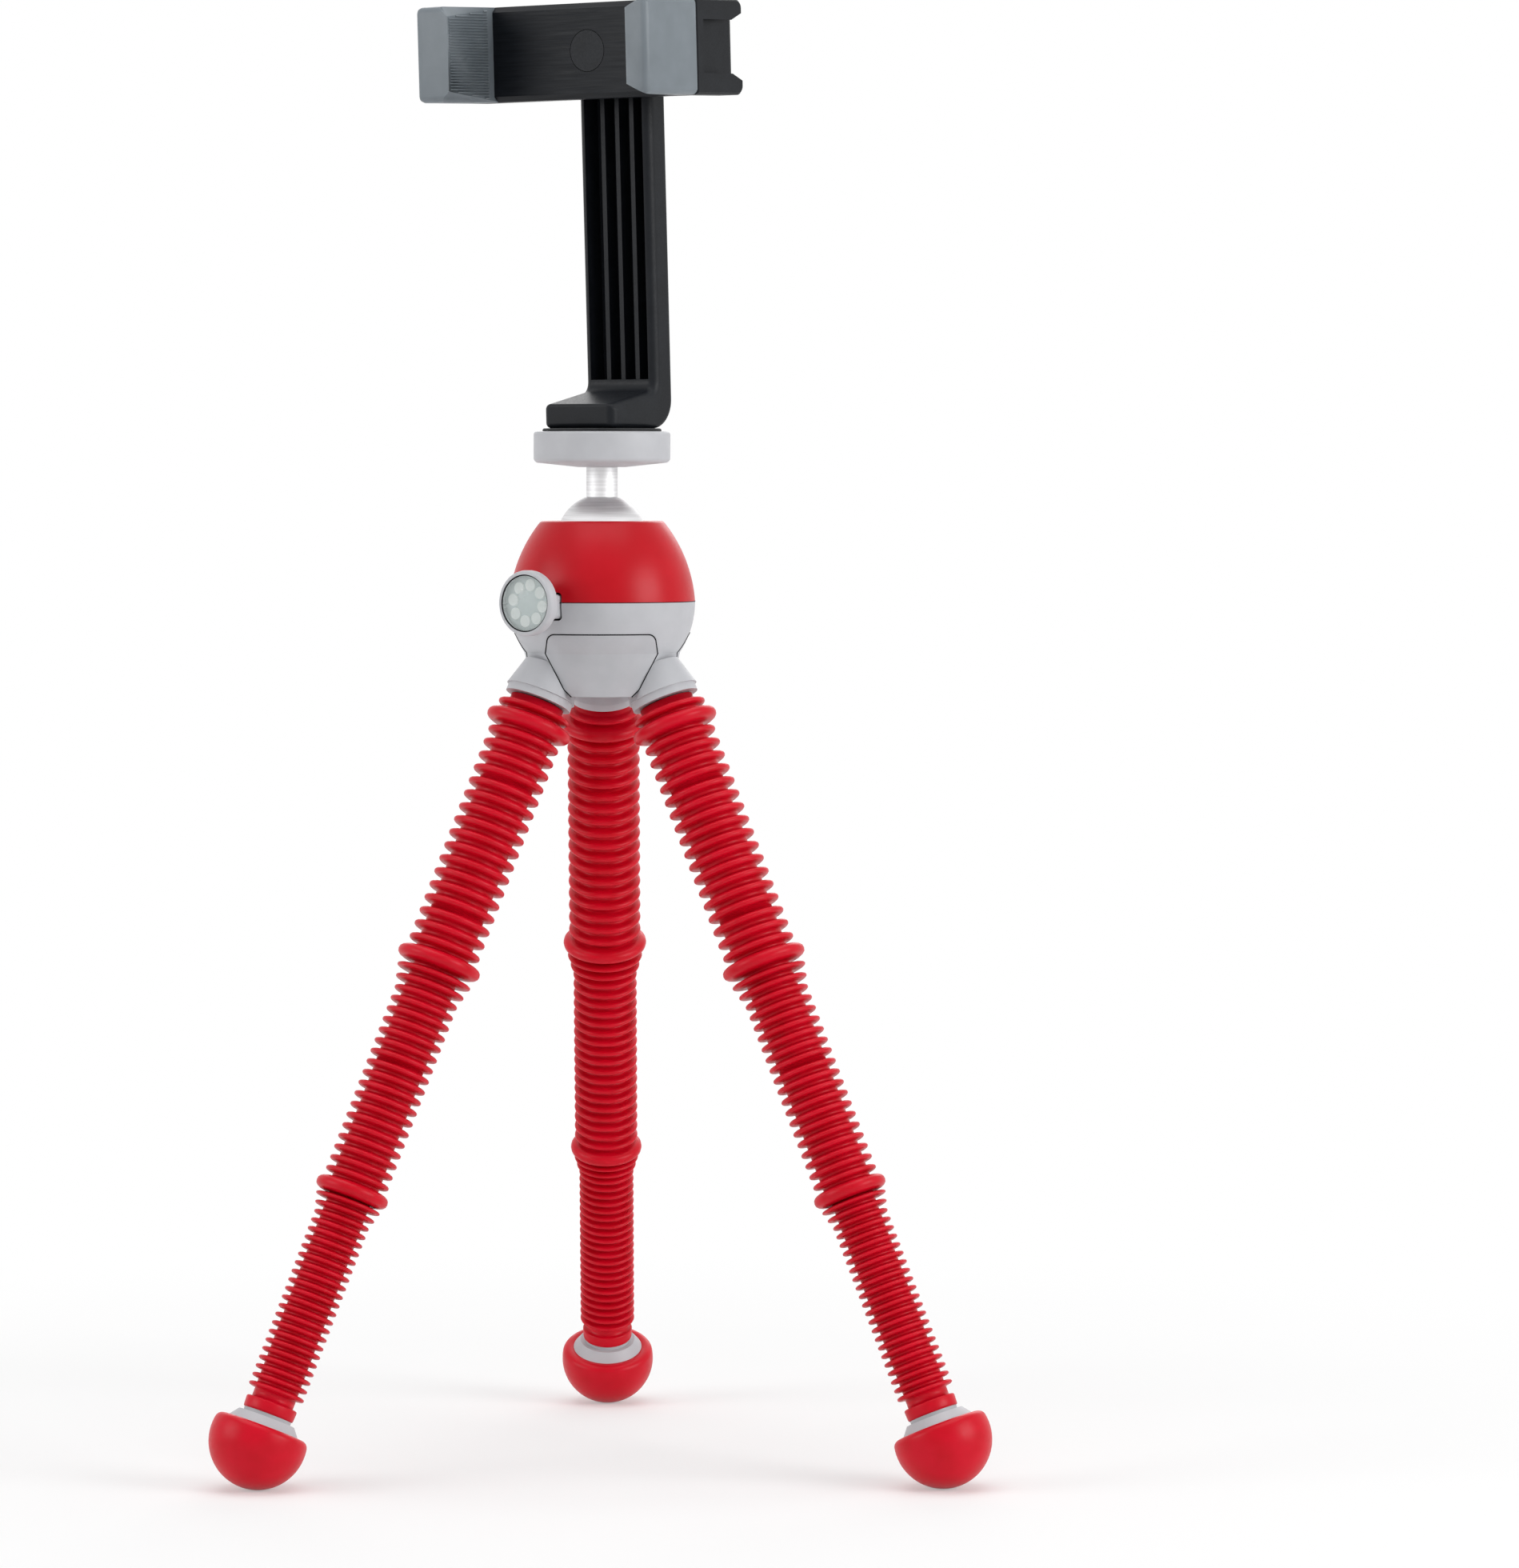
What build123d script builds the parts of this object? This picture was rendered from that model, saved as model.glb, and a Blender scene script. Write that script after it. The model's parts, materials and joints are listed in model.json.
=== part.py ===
from build123d import *
import os
from math import asin, atan2, cos, degrees, radians, sin, sqrt, tan

# A small flexible tripod: three ribbed rubber legs on ball feet, a two-colour hub with a ball head
# inside it, and a spring clamp for a phone on a ribbed arm. Z is up, the feet stand on Z = 0, the
# rear leg points to +Y and the origin is the middle of the space that the three feet stand in.

# Clearances, and the one overrun that every cut shares
fit_gap = 0.05          # a ball in its socket, a screw in its bore
pass_gap = 0.3          # pieces that move past each other
seam_gap = 0.15         # covers, pads and inserts in their recesses
overrun = 2.0

# Stance of the legs
foot_circle = 100.0     # hub axis to the centre of a foot ball
foot_radius = 12.5
mouth_circle = 19.0     # hub axis to the centre of a nozzle's mouth
mouth_height = 198.0    # the hub and all that it carries keep their heights above the mouths
leg_headings = {"left": 210, "right": 330, "rear": 90}

# Foot
foot_cut = 3.7          # the ball is cut flat this far above its centre, square to the leg
foot_rim = 1.9
collar_length = 2.4
collar_radius = 9.35
collar_top_radius = 7.45
ankle_length = 0.9
ankle_radius = 6.25
stub_radius = 4.6       # the collar's stub inside the rubber ball
stub_length = 8.0
stub_flange_radius = 6.4
stub_flange = 2.0

# Ribbed sleeve, from the nozzle down
sleeve_start = 0.4
top_rib_station = 3.1
top_rib_radius = 9.6
top_rib_half = 0.9
bead_shares = (0.0338, 0.3582, 0.6685)
bead_radii = (11.3, 11.05, 9.6)
bead_half = 1.9
bead_crest_share = 0.5
rib_counts = (17, 20, 23)
rib_radii = (9.55, 8.5, 7.4)
floor_radii = (7.5, 6.7, 5.85)
bead_gaps = (4.1, 3.8, 3.0)
rib_base_share = 0.3
rib_crest_share = 0.17
taper_shares = (0.56, 0.28)
cuff_length = 3.1
cuff_radius = 6.75
cuff_chamfer = 0.4

# Ball-and-socket struts inside the sleeve
hip_station = 4.0
joint_rib_counts = (9, 19, 32, 45)  # small ribs above each joint but the hip
core_radii = (5.5, 4.9, 4.9, 4.2, 4.2)
ball_share = 0.8
neck_share = 0.45
leg_bend = 30.0         # degrees either way at each joint
bend_margin = 3.0
socket_chamfer = 0.4
socket_back = 9.5       # the hub's sockets reach this far up into their nozzles
socket_wall = 1.0       # the castings keep this much round them

# Hub, in three layers from the nozzles' mouths up
spider_rise = 12.4      # from the mouths to the lower seam, above the nozzles
shell_height = 13.2     # the grey half
dome_height = 20.8      # the red half
hub_radius = 24.1
dome_arc_radius = 36.9
dome_arc_drop = 2.6     # the arc's centre lies this far below the seam
dome_rim = 1.4
cavity_radius = 13.0
cavity_floor_wall = 2.6

# Nozzles
mouth_radius = 8.75
mouth_band = 2.0
skirt_radius = 9.2
flare_length = 7.5
flare_angle = 17.0
spider_drop = 3.4       # height of the upright band under the lower seam
spider_waist_radius = 19.4
spider_base_radius = 15.0
spider_base_rise = 2.0  # from the mouths to the casting's underside

# Covers between the nozzles
cover_rise = 5.0        # from the lower seam to the covers' tops
cover_base_rise = 1.3   # from the mouths to the covers' feet
cover_knee_rise = 1.9   # from a cover's foot to its knee
cover_top_width = 27.5
cover_wide = 28.9
cover_base_width = 15.6
cover_knee_width = 19.4
cover_base_radius = 17.6
cover_wall = 1.8
cover_corner = 2.0

# Screws that hold the hub together
screw_circle = 8.6
screw_radius = 1.2
screw_head_radius = 2.2
screw_head = 1.6

# Ball head
ball_radius = 11.8
ball_rise = 15.9        # from the hub's seam to the ball's centre
stem_radius = 4.05
platform_radius = 17.7
platform_rise = 19.9    # from the ball's centre to the platform's edge
platform_thickness = 8.1
platform_cone = 1.1
platform_boss_radius = 6.0
platform_edge = 0.6
tongue_length = 3.0     # the stem's reach into the platform
pad_radius = 15.4
pad_thickness = 1.3
pad_recess = 0.5
camera_screw_radius = 3.175
camera_screw_reach = 5.0
camera_head_radius = 5.5
camera_head = 1.6

# Seat under the ball
cup_radius = 11.5
cup_height = 6.0
cup_hole_radius = 4.0
block_height = 1.6
wedge_length = 12.0
wedge_width = 9.0
wedge_drop = 4.0        # the wedge reaches this far below the screw's axis
wedge_angle = 5.0

# Lock knob
knob_heading = 235.0
knob_face = 34.0        # hub axis to the knob's outer face
knob_radius = 8.4
knob_thickness = 3.4
knob_edge = 0.9
lens_radius = 7.2
lens_thickness = 1.1
lens_sink = 0.3
dial_thickness = 0.6
dot_count = 8
dot_radius = 1.4
dot_circle = 4.67
dot_height = 0.3
dot_start = 80.0        # the first dot's angle from the knob's level line
lock_screw_radius = 1.2
lock_screw_end = 8.5    # beyond the hub axis
collar_width = 7.4
collar_height = 6.2
collar_drop = 1.0       # the boss sits this far below the knob's axis
collar_corner = 1.2
collar_root = 16.5
collar_flange = 3.0
collar_gap = 0.5
slot_gap = 0.5

# Phone arm
arm_heading = 35.3      # the clamp is turned this far from the view's own plane
arm_lean = 2.4
arm_width = 22.6
arm_depth = 8.0
arm_setback = 8.3       # camera screw to the inner face of the column
arm_corner = 1.4
arm_wall = 2.1
arm_web = 2.0
arm_rib_count = 3
arm_rib = 1.3
arm_rib_setback = 1.8   # the ribs stop this far behind the side walls' edges
arm_bend = 7.5          # outer radius where the column meets the foot
arm_hollow = 2.8        # inner radius there
arm_foot_front = 10.5
arm_foot_height = 6.6
arm_foot_rise = 9.0     # slope of the foot's top, in degrees
arm_foot_corner = 2.4
arm_foot_edge = 0.8
pivot_rise = 97.2
nut_radius = 5.6
nut_height = 4.2
boss_radius = 9.0

# Clamp
clamp_front = 10.6      # column face to clamp face
clamp_depth = 10.2
clamp_half_height = 12.3
clamp_chamfer = 1.4
clamp_right = 25.9
jaw_inner = 26.3        # pivot axis to the moving jaw
jaw_outer = 32.7
fixed_inner = 30.1      # pivot axis to the fixed jaw
fixed_outer = 40.6
jaw_reach = 19.5
jaw_bevel = 2.7         # a pad's gripping face loses this much above and below, at its tip
fixed_bevel_reach = 3.0  # how far the bevels run across the two pads' tips
moving_bevel_reach = 5.6
pad_corner = 1.6
pad_wall = 1.5
pad_end_wall = 2.4      # rubber above and below a jaw's finger
pad_wrap = 2.5
grip_count = 34
grip_height = 0.25
grip_share = 0.55
grip_band = 2.6         # smooth strip behind the ribs
grip_edge = 0.6         # and in front of them
rail_front = 3.2
rail_depth = 4.0
rail_inner = 4.2
rail_outer = 7.4
rail_length = 50.0
spring_offset = 9.2
spring_radius = 1.3
spring_wire = 0.5
cap_radius = 5.3
cap_thickness = 1.2
pivot_radius = 2.0
pivot_head_radius = 3.8
pivot_head = 1.8
pivot_reach = 5.0       # into the column

# Accessory shoe in the end of the sliding jaw
shoe_reach = 23.4
shoe_throat = 13.7
shoe_flare = 2.0        # the lips part by this much on each side at the open end
shoe_flare_length = 5.0
shoe_slot = 18.6
shoe_slot_depth = 2.0
shoe_lip = 1.0
shoe_start = 5.7
shoe_floor_corner = 2.0
prong_corner = 2.4
jaw_edge = 0.6

# Places that follow from the sizes above
axis_y = -foot_circle / 4
leg_rise = mouth_height - foot_radius
leg_run = foot_circle - mouth_circle
leg_length = sqrt(leg_rise ** 2 + leg_run ** 2)
leg_lean = degrees(atan2(leg_run, leg_rise))
cuff_end = leg_length - foot_cut - collar_length - ankle_length
cuff_start = cuff_end - cuff_length
spider_base = mouth_height + spider_base_rise
spider_height = mouth_height + spider_rise
cover_base = mouth_height + cover_base_rise
cover_knee = cover_base + cover_knee_rise
cover_top = spider_height + cover_rise
cavity_floor = spider_height + cavity_floor_wall
seam_height = spider_height + shell_height
hub_top = seam_height + dome_height
knob_height = seam_height
ball_height = seam_height + ball_rise
platform_base = ball_height + platform_rise
platform_top = platform_base + platform_thickness
pad_top = platform_top - pad_recess + pad_thickness
dome_arc_offset = sqrt(dome_arc_radius ** 2 - dome_arc_drop ** 2) - hub_radius


def turned(points):
    """A solid turned about Z from a closed outline of (radius, height) points, doubled ones left out."""
    outline = [point for point, after in zip(points, points[1:] + points[:1]) if point != after]
    return revolve(Plane.XZ * make_face(Polyline(*outline, close=True)), Axis.Z)


def placed(plane, shape):
    """A shape built about the origin, carried to a plane."""
    return plane.location * shape


def rod(radius, low, high):
    """A round bar along Z."""
    return Pos(0, 0, low) * Cylinder(radius, high - low, align=(Align.CENTER, Align.CENTER, Align.MIN))


def block(low, high):
    """A box between two corners."""
    size = [b - a for a, b in zip(low, high)]
    return Pos(*low) * Box(*size, align=(Align.MIN, Align.MIN, Align.MIN))


def heading_vector(angle):
    return Vector(cos(radians(angle)), sin(radians(angle)), 0)


def hub_plane():
    """The hub's own axis, with Z up."""
    return Plane((0, axis_y, 0))


def leg_plane(name):
    """A leg's axis: Z runs down the leg from the nozzle's mouth, X lies level across it."""
    out = heading_vector(leg_headings[name])
    across = Vector(0, 0, 1).cross(out)
    down = out * sin(radians(leg_lean)) - Vector(0, 0, 1) * cos(radians(leg_lean))
    origin = Vector(0, axis_y, mouth_height) + out * mouth_circle
    return Plane(origin, x_dir=across, z_dir=down)


def sphere_radius(height):
    """Radius of the grey half at a height."""
    return sqrt(hub_radius ** 2 - (seam_height - height) ** 2)


def dome_radius(height):
    """Radius of the red half at a height."""
    rise = height - seam_height + dome_arc_drop
    return sqrt(dome_arc_radius ** 2 - rise ** 2) - dome_arc_offset


def bead_stations():
    return [share * leg_length for share in bead_shares]


def rib_stations(section):
    """Centres of the small ribs of one section, spaced evenly between its beads."""
    beads = bead_stations() + [cuff_start]
    first = beads[section] + bead_gaps[section]
    last = beads[section + 1] - bead_gaps[section]
    pitch = (last - first) / (rib_counts[section] - 1)
    return [first + pitch * i for i in range(rib_counts[section])], pitch


def joint_stations():
    """Centres of the five ball joints of a leg: the hip, then four in the grooves between ribs."""
    grooves = []
    for section in range(len(rib_counts)):
        ribs, pitch = rib_stations(section)
        grooves += [rib + pitch / 2 for rib in ribs]
    return [hip_station] + [grooves[count - 1] for count in joint_rib_counts]


def rib_circles():
    """The circles that the whole sleeve is lofted through, as (station, radius), four to a rib."""
    beads = bead_stations()
    circles = []

    def rib(station, radius, base, crest, before, after):
        circles.extend([
            (station - base, before), (station - crest, radius),
            (station + crest, radius), (station + base, after)])

    rib(top_rib_station, top_rib_radius, top_rib_half, top_rib_half * bead_crest_share,
        floor_radii[0], floor_radii[0])
    for section, bead in enumerate(beads):
        floor = floor_radii[section]
        before = floor_radii[max(section - 1, 0)]
        rib(bead, bead_radii[section], bead_half, bead_half * bead_crest_share, before, floor)
        stations, pitch = rib_stations(section)
        for i, station in enumerate(stations):
            swell = taper_shares[i] if section and i < len(taper_shares) else 0
            radius = rib_radii[section] + swell * (bead_radii[section] - rib_radii[section])
            rib(station, radius, rib_base_share * pitch, rib_crest_share * pitch, floor, floor)
    return circles


def sleeve_length(number):
    """One length of the ribbed sleeve, from its joint to the next, with its bore."""
    joints = joint_stations()
    start = sleeve_start if number == 1 else joints[number - 1]
    end = cuff_start if number == 5 else joints[number]
    inside = [c for c in rib_circles() if start < c[0] < end]
    circles = [(start, inside[0][1])] + inside + [(end, inside[-1][1])]
    sections = [Plane((0, 0, z), x_dir=(1, 0, 0)) * Circle(radius) for z, radius in circles]
    sleeve = loft(sections, ruled=True)
    if number == 5:
        sleeve += turned([
            (0, cuff_start), (cuff_radius - cuff_chamfer, cuff_start),
            (cuff_radius, cuff_start + cuff_chamfer), (cuff_radius, cuff_end - cuff_chamfer),
            (cuff_radius - cuff_chamfer, cuff_end), (0, cuff_end)])
        end = cuff_end
    bore = core_radii[number - 1] + pass_gap
    return sleeve - rod(bore, start - overrun, end + overrun)


def lip_angle():
    """Angle from a socket's axis to its lip: the neck, the bend and a margin."""
    return degrees(asin(neck_share)) + leg_bend + bend_margin


def socket_drop(outer):
    """How far a socket reaches past the centre of its ball."""
    return (ball_share * outer + fit_gap) * cos(radians(lip_angle()))


def shoulder_station(outer):
    """Distance from a ball's centre to the strut's shoulder, clear of the socket's swing."""
    return sqrt(outer ** 2 + socket_drop(outer) ** 2) + pass_gap


def strut_top(outer):
    """Ball and neck at the top of a strut, about the ball's centre."""
    ball = ball_share * outer
    return Sphere(ball) + rod(ball * neck_share, 0, shoulder_station(outer) + socket_chamfer)


def socket_outline(top, top_radius, centre, radius):
    """Outline of a strut from its shoulder down to its socket's lip."""
    lip = centre + socket_drop(radius)
    taper = centre - radius
    return [
        (0, top), (top_radius - socket_chamfer, top), (top_radius, top + socket_chamfer),
        (top_radius, taper - (top_radius - radius)), (radius, taper),
        (radius, lip - socket_chamfer), (radius - socket_chamfer, lip), (0, lip)]


def link(number):
    """A strut: a ball and neck at its upper joint, a socket at its lower one."""
    joints = joint_stations()
    start, end = joints[number - 1], joints[number]
    outer, lower = core_radii[number - 1], core_radii[number]
    body = turned(socket_outline(start + shoulder_station(outer), outer, end, lower))
    body += Pos(0, 0, start) * strut_top(outer)
    return body - Pos(0, 0, end) * Sphere(ball_share * lower + fit_gap)


def foot_link():
    """The last strut, one moulding with the grey collar and the stub inside the rubber foot."""
    start = joint_stations()[4]
    outer = core_radii[4]
    shoulder = start + shoulder_station(outer)
    collar_start = cuff_end + ankle_length
    cut = leg_length - foot_cut
    stub_end = cut + stub_length
    body = turned([
        (0, shoulder), (outer - socket_chamfer, shoulder), (outer, shoulder + socket_chamfer),
        (outer, cuff_end), (ankle_radius, cuff_end), (ankle_radius, collar_start),
        (collar_top_radius, collar_start), (collar_radius, cut), (stub_radius, cut),
        (stub_radius, stub_end - stub_flange), (stub_flange_radius, stub_end - stub_flange),
        (stub_flange_radius, stub_end), (0, stub_end)])
    return body + Pos(0, 0, start) * strut_top(outer)


def foot_ball():
    """The red rubber foot, moulded round the collar's stub."""
    cut = leg_length - foot_cut
    ball = Pos(0, 0, leg_length) * Sphere(foot_radius)
    ball -= rod(foot_radius + overrun, cut - foot_radius, cut)
    ball = fillet(ball.edges().filter_by(GeomType.CIRCLE).sort_by(Axis.Z)[0], foot_rim)
    stub_end = cut + stub_length
    ball -= rod(stub_radius + seam_gap, cut - overrun, stub_end)
    ball -= rod(stub_flange_radius + seam_gap, stub_end - stub_flange - seam_gap, stub_end + seam_gap)
    return ball


def leg_sockets():
    """The three sockets in the nozzles that hold the top struts."""
    outer = core_radii[0]
    socket = turned(socket_outline(-socket_back, outer, hip_station, outer))
    socket -= Pos(0, 0, hip_station) * Sphere(ball_share * outer + fit_gap)
    return [placed(leg_plane(name), socket) for name in leg_headings]


def cover_band(grow, outward):
    """A turned band that follows the covers' outer face, grown all round and outward."""
    top = cover_top + grow
    base = cover_base - grow
    middle = (top + spider_height) / 2
    depth = cover_wall + outward + grow
    outer_top = sphere_radius(top) + outward
    outer_seam = sphere_radius(spider_height) + outward
    outer_base = cover_base_radius + outward
    arc = ThreePointArc(
        (outer_seam, spider_height), (sphere_radius(middle) + outward, middle), (outer_top, top))
    rest = Polyline(
        (outer_top, top), (outer_top - depth, top), (outer_seam - depth, spider_height),
        (outer_base - depth, base), (outer_base, base), (outer_seam, spider_height))
    return revolve(Plane.XZ * make_face(arc + rest), Axis.Z)


def cover_prism(grow):
    """The trapezoid outline of a cover, as a bar along -Y."""
    half_top = cover_top_width / 2 + grow
    half_wide = cover_wide / 2 + grow
    half_knee = cover_knee_width / 2 + grow
    half_base = cover_base_width / 2 + grow
    points = [
        (-half_base, cover_base - grow), (half_base, cover_base - grow), (half_knee, cover_knee),
        (half_wide, spider_height), (half_top, cover_top + grow), (-half_top, cover_top + grow),
        (-half_wide, spider_height), (-half_knee, cover_knee)]
    face = make_face(Polyline(*points, close=True))
    corners = [v for v in face.vertices() if v.Z + v.Y > cover_top - seam_gap]
    face = fillet(corners, cover_corner)
    return extrude(Plane.XZ * face, hub_radius + overrun)


def cover_turns():
    """Turns that carry the front cover to the three gaps between the legs."""
    return [Rot(0, 0, leg_headings[name] - leg_headings["rear"]) for name in leg_headings]


def socket_bosses(radius):
    """Bars round the two sockets beside the front cover, about the hub's own axis."""
    boss = rod(radius, -socket_back - socket_wall, 0)
    beside = [placed(leg_plane(name), boss) for name in ("left", "right")]
    return [Pos(0, -axis_y, 0) * bar for bar in beside]


def gap_covers():
    """The three covers that close the gaps between the nozzles."""
    cover = cover_band(0, 0) & cover_prism(0)
    for boss in socket_bosses(core_radii[0] + 2 * seam_gap + socket_wall):
        cover -= boss
    return [placed(hub_plane(), turn * cover) for turn in cover_turns()]


def cover_recess():
    """What the covers take out of the two grey castings, short of the leg sockets' walls."""
    recess = cover_band(seam_gap, overrun) & cover_prism(seam_gap)
    for boss in socket_bosses(core_radii[0] + seam_gap + socket_wall):
        recess -= boss
    return recess


def knob_plane():
    """The knob's axis: Z points outward from the hub axis, Y up."""
    out = heading_vector(knob_heading)
    return Plane((0, 0, knob_height), x_dir=Vector(0, 0, 1).cross(out), z_dir=out)


def collar_bar(grow, start, end):
    """The rounded rectangular boss, along the knob's axis."""
    outline = RectangleRounded(collar_width + 2 * grow, collar_height + 2 * grow, collar_corner)
    return placed(knob_plane(), Pos(0, -collar_drop, start) * extrude(outline, end - start))


def knob_collar():
    """The fixed boss that the knob turns on."""
    end = knob_face - knob_thickness - collar_gap
    root = collar_root - collar_flange
    bar = collar_bar(0, collar_root, end) + collar_bar(slot_gap - seam_gap, root, collar_root)
    bore = rod(lock_screw_radius + fit_gap, root - overrun, end + overrun)
    return placed(hub_plane(), bar - placed(knob_plane(), bore))


def screw_places():
    return [Pos(*(heading_vector(leg_headings[n] + 180) * screw_circle)) for n in leg_headings]


def dome_shell():
    """The red upper half, with the ball's socket and its lip."""
    middle = (seam_height + hub_top) / 2
    arc = ThreePointArc(
        (dome_radius(seam_height), seam_height), (dome_radius(middle), middle),
        (dome_radius(hub_top), hub_top))
    rest = Polyline(
        (dome_radius(hub_top), hub_top), (0, hub_top), (0, seam_height),
        (dome_radius(seam_height), seam_height))
    dome = revolve(Plane.XZ * make_face(arc + rest), Axis.Z)
    dome = fillet(dome.edges().filter_by(GeomType.CIRCLE).sort_by(Axis.Z)[-1], dome_rim)
    dome -= Pos(0, 0, ball_height) * Sphere(ball_radius + fit_gap)
    dome -= rod(ball_radius + fit_gap, seam_height - overrun, ball_height)
    dome -= collar_bar(slot_gap, 0, hub_radius + overrun)
    return placed(hub_plane(), dome)


def hub_shell():
    """The grey lower half, round the wedge's cavity."""
    middle = (seam_height + spider_height) / 2
    arc = ThreePointArc(
        (sphere_radius(spider_height), spider_height), (sphere_radius(middle), middle),
        (hub_radius, seam_height))
    rest = Polyline(
        (hub_radius, seam_height), (0, seam_height), (0, spider_height),
        (sphere_radius(spider_height), spider_height))
    shell = revolve(Plane.XZ * make_face(arc + rest), Axis.Z)
    shell -= rod(cavity_radius, cavity_floor, seam_height + overrun)
    shell -= collar_bar(slot_gap, 0, hub_radius + overrun)
    for turn in cover_turns():
        shell -= turn * cover_recess()
    bore = rod(screw_radius, spider_height - overrun, cavity_floor - screw_head)
    for place in screw_places():
        shell -= place * bore
    return placed(hub_plane(), shell)


def leg_nozzle():
    """One flared nozzle about its leg's axis, with the band at its mouth."""
    flare_end = -mouth_band - flare_length
    narrow = skirt_radius - flare_length * tan(radians(flare_angle))
    return turned([
        (0, 0), (mouth_radius, 0), (mouth_radius, -mouth_band), (skirt_radius, -mouth_band),
        (narrow, flare_end), (0, flare_end)])


def leg_spider():
    """The lower casting: three flared nozzles on one waist."""
    waist = spider_height - spider_drop
    core = turned([
        (0, spider_base), (spider_base_radius, spider_base), (spider_waist_radius, waist),
        (sphere_radius(spider_height), spider_height), (0, spider_height)])
    for turn in cover_turns():
        core -= turn * cover_recess()
    spider = placed(hub_plane(), core)
    for name in leg_headings:
        spider += placed(leg_plane(name), leg_nozzle())
    for turn in cover_turns():
        spider -= placed(hub_plane(), turn * cover_recess())
    for name in leg_headings:
        bore = rod(core_radii[0] + seam_gap, -socket_back - seam_gap, overrun)
        spider -= placed(leg_plane(name), bore)
    for place in screw_places():
        hole = rod(screw_radius + seam_gap, spider_base - overrun, spider_height + overrun)
        head = rod(screw_head_radius + seam_gap, spider_base - overrun, spider_base + screw_head)
        spider -= placed(hub_plane(), place * (hole + head))
    return spider


def hub_screws():
    """Three screws from below, through the lower casting into the grey half."""
    screw = rod(screw_head_radius, spider_base, spider_base + screw_head)
    screw += rod(screw_radius, spider_base, cavity_floor - screw_head)
    return [placed(hub_plane(), place * screw) for place in screw_places()]


def seat_cup():
    """The ring under the ball, which turns with it."""
    base = ball_height - ball_radius - seam_gap
    cup = rod(cup_radius, base, base + cup_height)
    cup -= Pos(0, 0, ball_height) * Sphere(ball_radius + fit_gap)
    return placed(hub_plane(), cup - rod(cup_hole_radius, base - overrun, base + cup_height))


def block_top():
    """Top face of the block under the seat cup."""
    return ball_height - ball_radius - seam_gap - fit_gap


def slope_height():
    """Height of the sloping contact at the hub axis."""
    return block_top() - block_height


def sloped_bar(level, inner, outer):
    """A bar along the knob's axis between a level face and a sloping one."""
    half = wedge_length / 2
    face = make_face(Polyline((-half, level), (half, level), (half, outer), (-half, inner), close=True))
    bar = extrude(Plane.XZ * face, wedge_width / 2, both=True)
    return Rot(0, 0, knob_heading) * bar


def seat_block():
    """The block that the wedge lifts against the seat cup, with a sloping pad beneath."""
    climb = wedge_length / 2 * tan(radians(wedge_angle))
    disc = rod(cup_radius, slope_height() + climb, block_top())
    pad = sloped_bar(block_top(), slope_height() - climb, slope_height() + climb)
    return placed(hub_plane(), disc + pad)


def wedge_block():
    """The nut on the lock screw, with the sloping top that lifts the seat block."""
    climb = wedge_length / 2 * tan(radians(wedge_angle))
    top = slope_height() - fit_gap
    bar = sloped_bar(knob_height - wedge_drop, top - climb, top + climb)
    bore = rod(lock_screw_radius + fit_gap, -wedge_length, wedge_length)
    return placed(hub_plane(), bar - placed(knob_plane(), bore))


def lock_screw():
    """The screw that the knob turns, through the collar and the wedge."""
    end = knob_face - knob_thickness + lens_sink
    return placed(hub_plane(), placed(knob_plane(), rod(lock_screw_radius, -lock_screw_end, end)))


def lock_knob():
    """The knob's cup, open at its face for the dial and the lens."""
    back = knob_face - knob_thickness
    cup = rod(knob_radius, back, knob_face)
    cup = fillet(cup.edges().filter_by(GeomType.CIRCLE), knob_edge)
    pocket = knob_face - lens_sink - lens_thickness - dot_height - dial_thickness
    cup -= rod(lens_radius + seam_gap, pocket, knob_face + overrun)
    cup -= rod(lock_screw_radius + seam_gap, back - overrun, knob_face)
    return placed(hub_plane(), placed(knob_plane(), cup))


def knob_dial():
    """The pale plate behind the lens, with its ring of round dots."""
    back = knob_face - lens_sink - lens_thickness - dot_height - dial_thickness
    dial = rod(lens_radius, back, back + dial_thickness)
    dot = Pos(dot_circle, 0, 0) * rod(dot_radius, back, back + dial_thickness + dot_height)
    for i in range(dot_count):
        dial += Rot(0, 0, dot_start + 360 * i / dot_count) * dot
    return placed(hub_plane(), placed(knob_plane(), dial))


def knob_lens():
    """The clear disc in the knob's face."""
    front = knob_face - lens_sink
    return placed(hub_plane(), placed(knob_plane(), rod(lens_radius, front - lens_thickness, front)))


def ball_stem():
    """The ball, its neck and the tongue that enters the platform."""
    tongue = platform_base - platform_cone + tongue_length
    stem = Pos(0, 0, ball_height) * Sphere(ball_radius) + rod(stem_radius, ball_height, tongue)
    return placed(hub_plane(), stem)


def platform_disc():
    """The round platform, with a shallow cone underneath and a recess for its pad."""
    low = platform_base - platform_cone
    disc = turned([
        (0, low), (platform_boss_radius, low), (platform_radius - platform_edge, platform_base),
        (platform_radius, platform_base + platform_edge), (platform_radius, platform_top - platform_edge),
        (platform_radius - platform_edge, platform_top), (0, platform_top)])
    disc -= rod(pad_radius + seam_gap, platform_top - pad_recess, platform_top + overrun)
    disc -= rod(stem_radius, low - overrun, low + tongue_length)
    head = platform_top - pad_recess - camera_head
    disc -= rod(camera_head_radius + seam_gap, head, platform_top)
    return placed(hub_plane(), disc)


def platform_pad():
    """The black rubber disc on the platform."""
    base = platform_top - pad_recess
    hole = rod(camera_screw_radius + seam_gap, base - overrun, pad_top + overrun)
    return placed(hub_plane(), rod(pad_radius, base, pad_top) - hole)


def camera_screw():
    """The quarter-inch screw that stands up through the pad."""
    base = platform_top - pad_recess
    screw = rod(camera_head_radius, base - camera_head, base)
    return placed(hub_plane(), screw + rod(camera_screw_radius, base, pad_top + camera_screw_reach))


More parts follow.
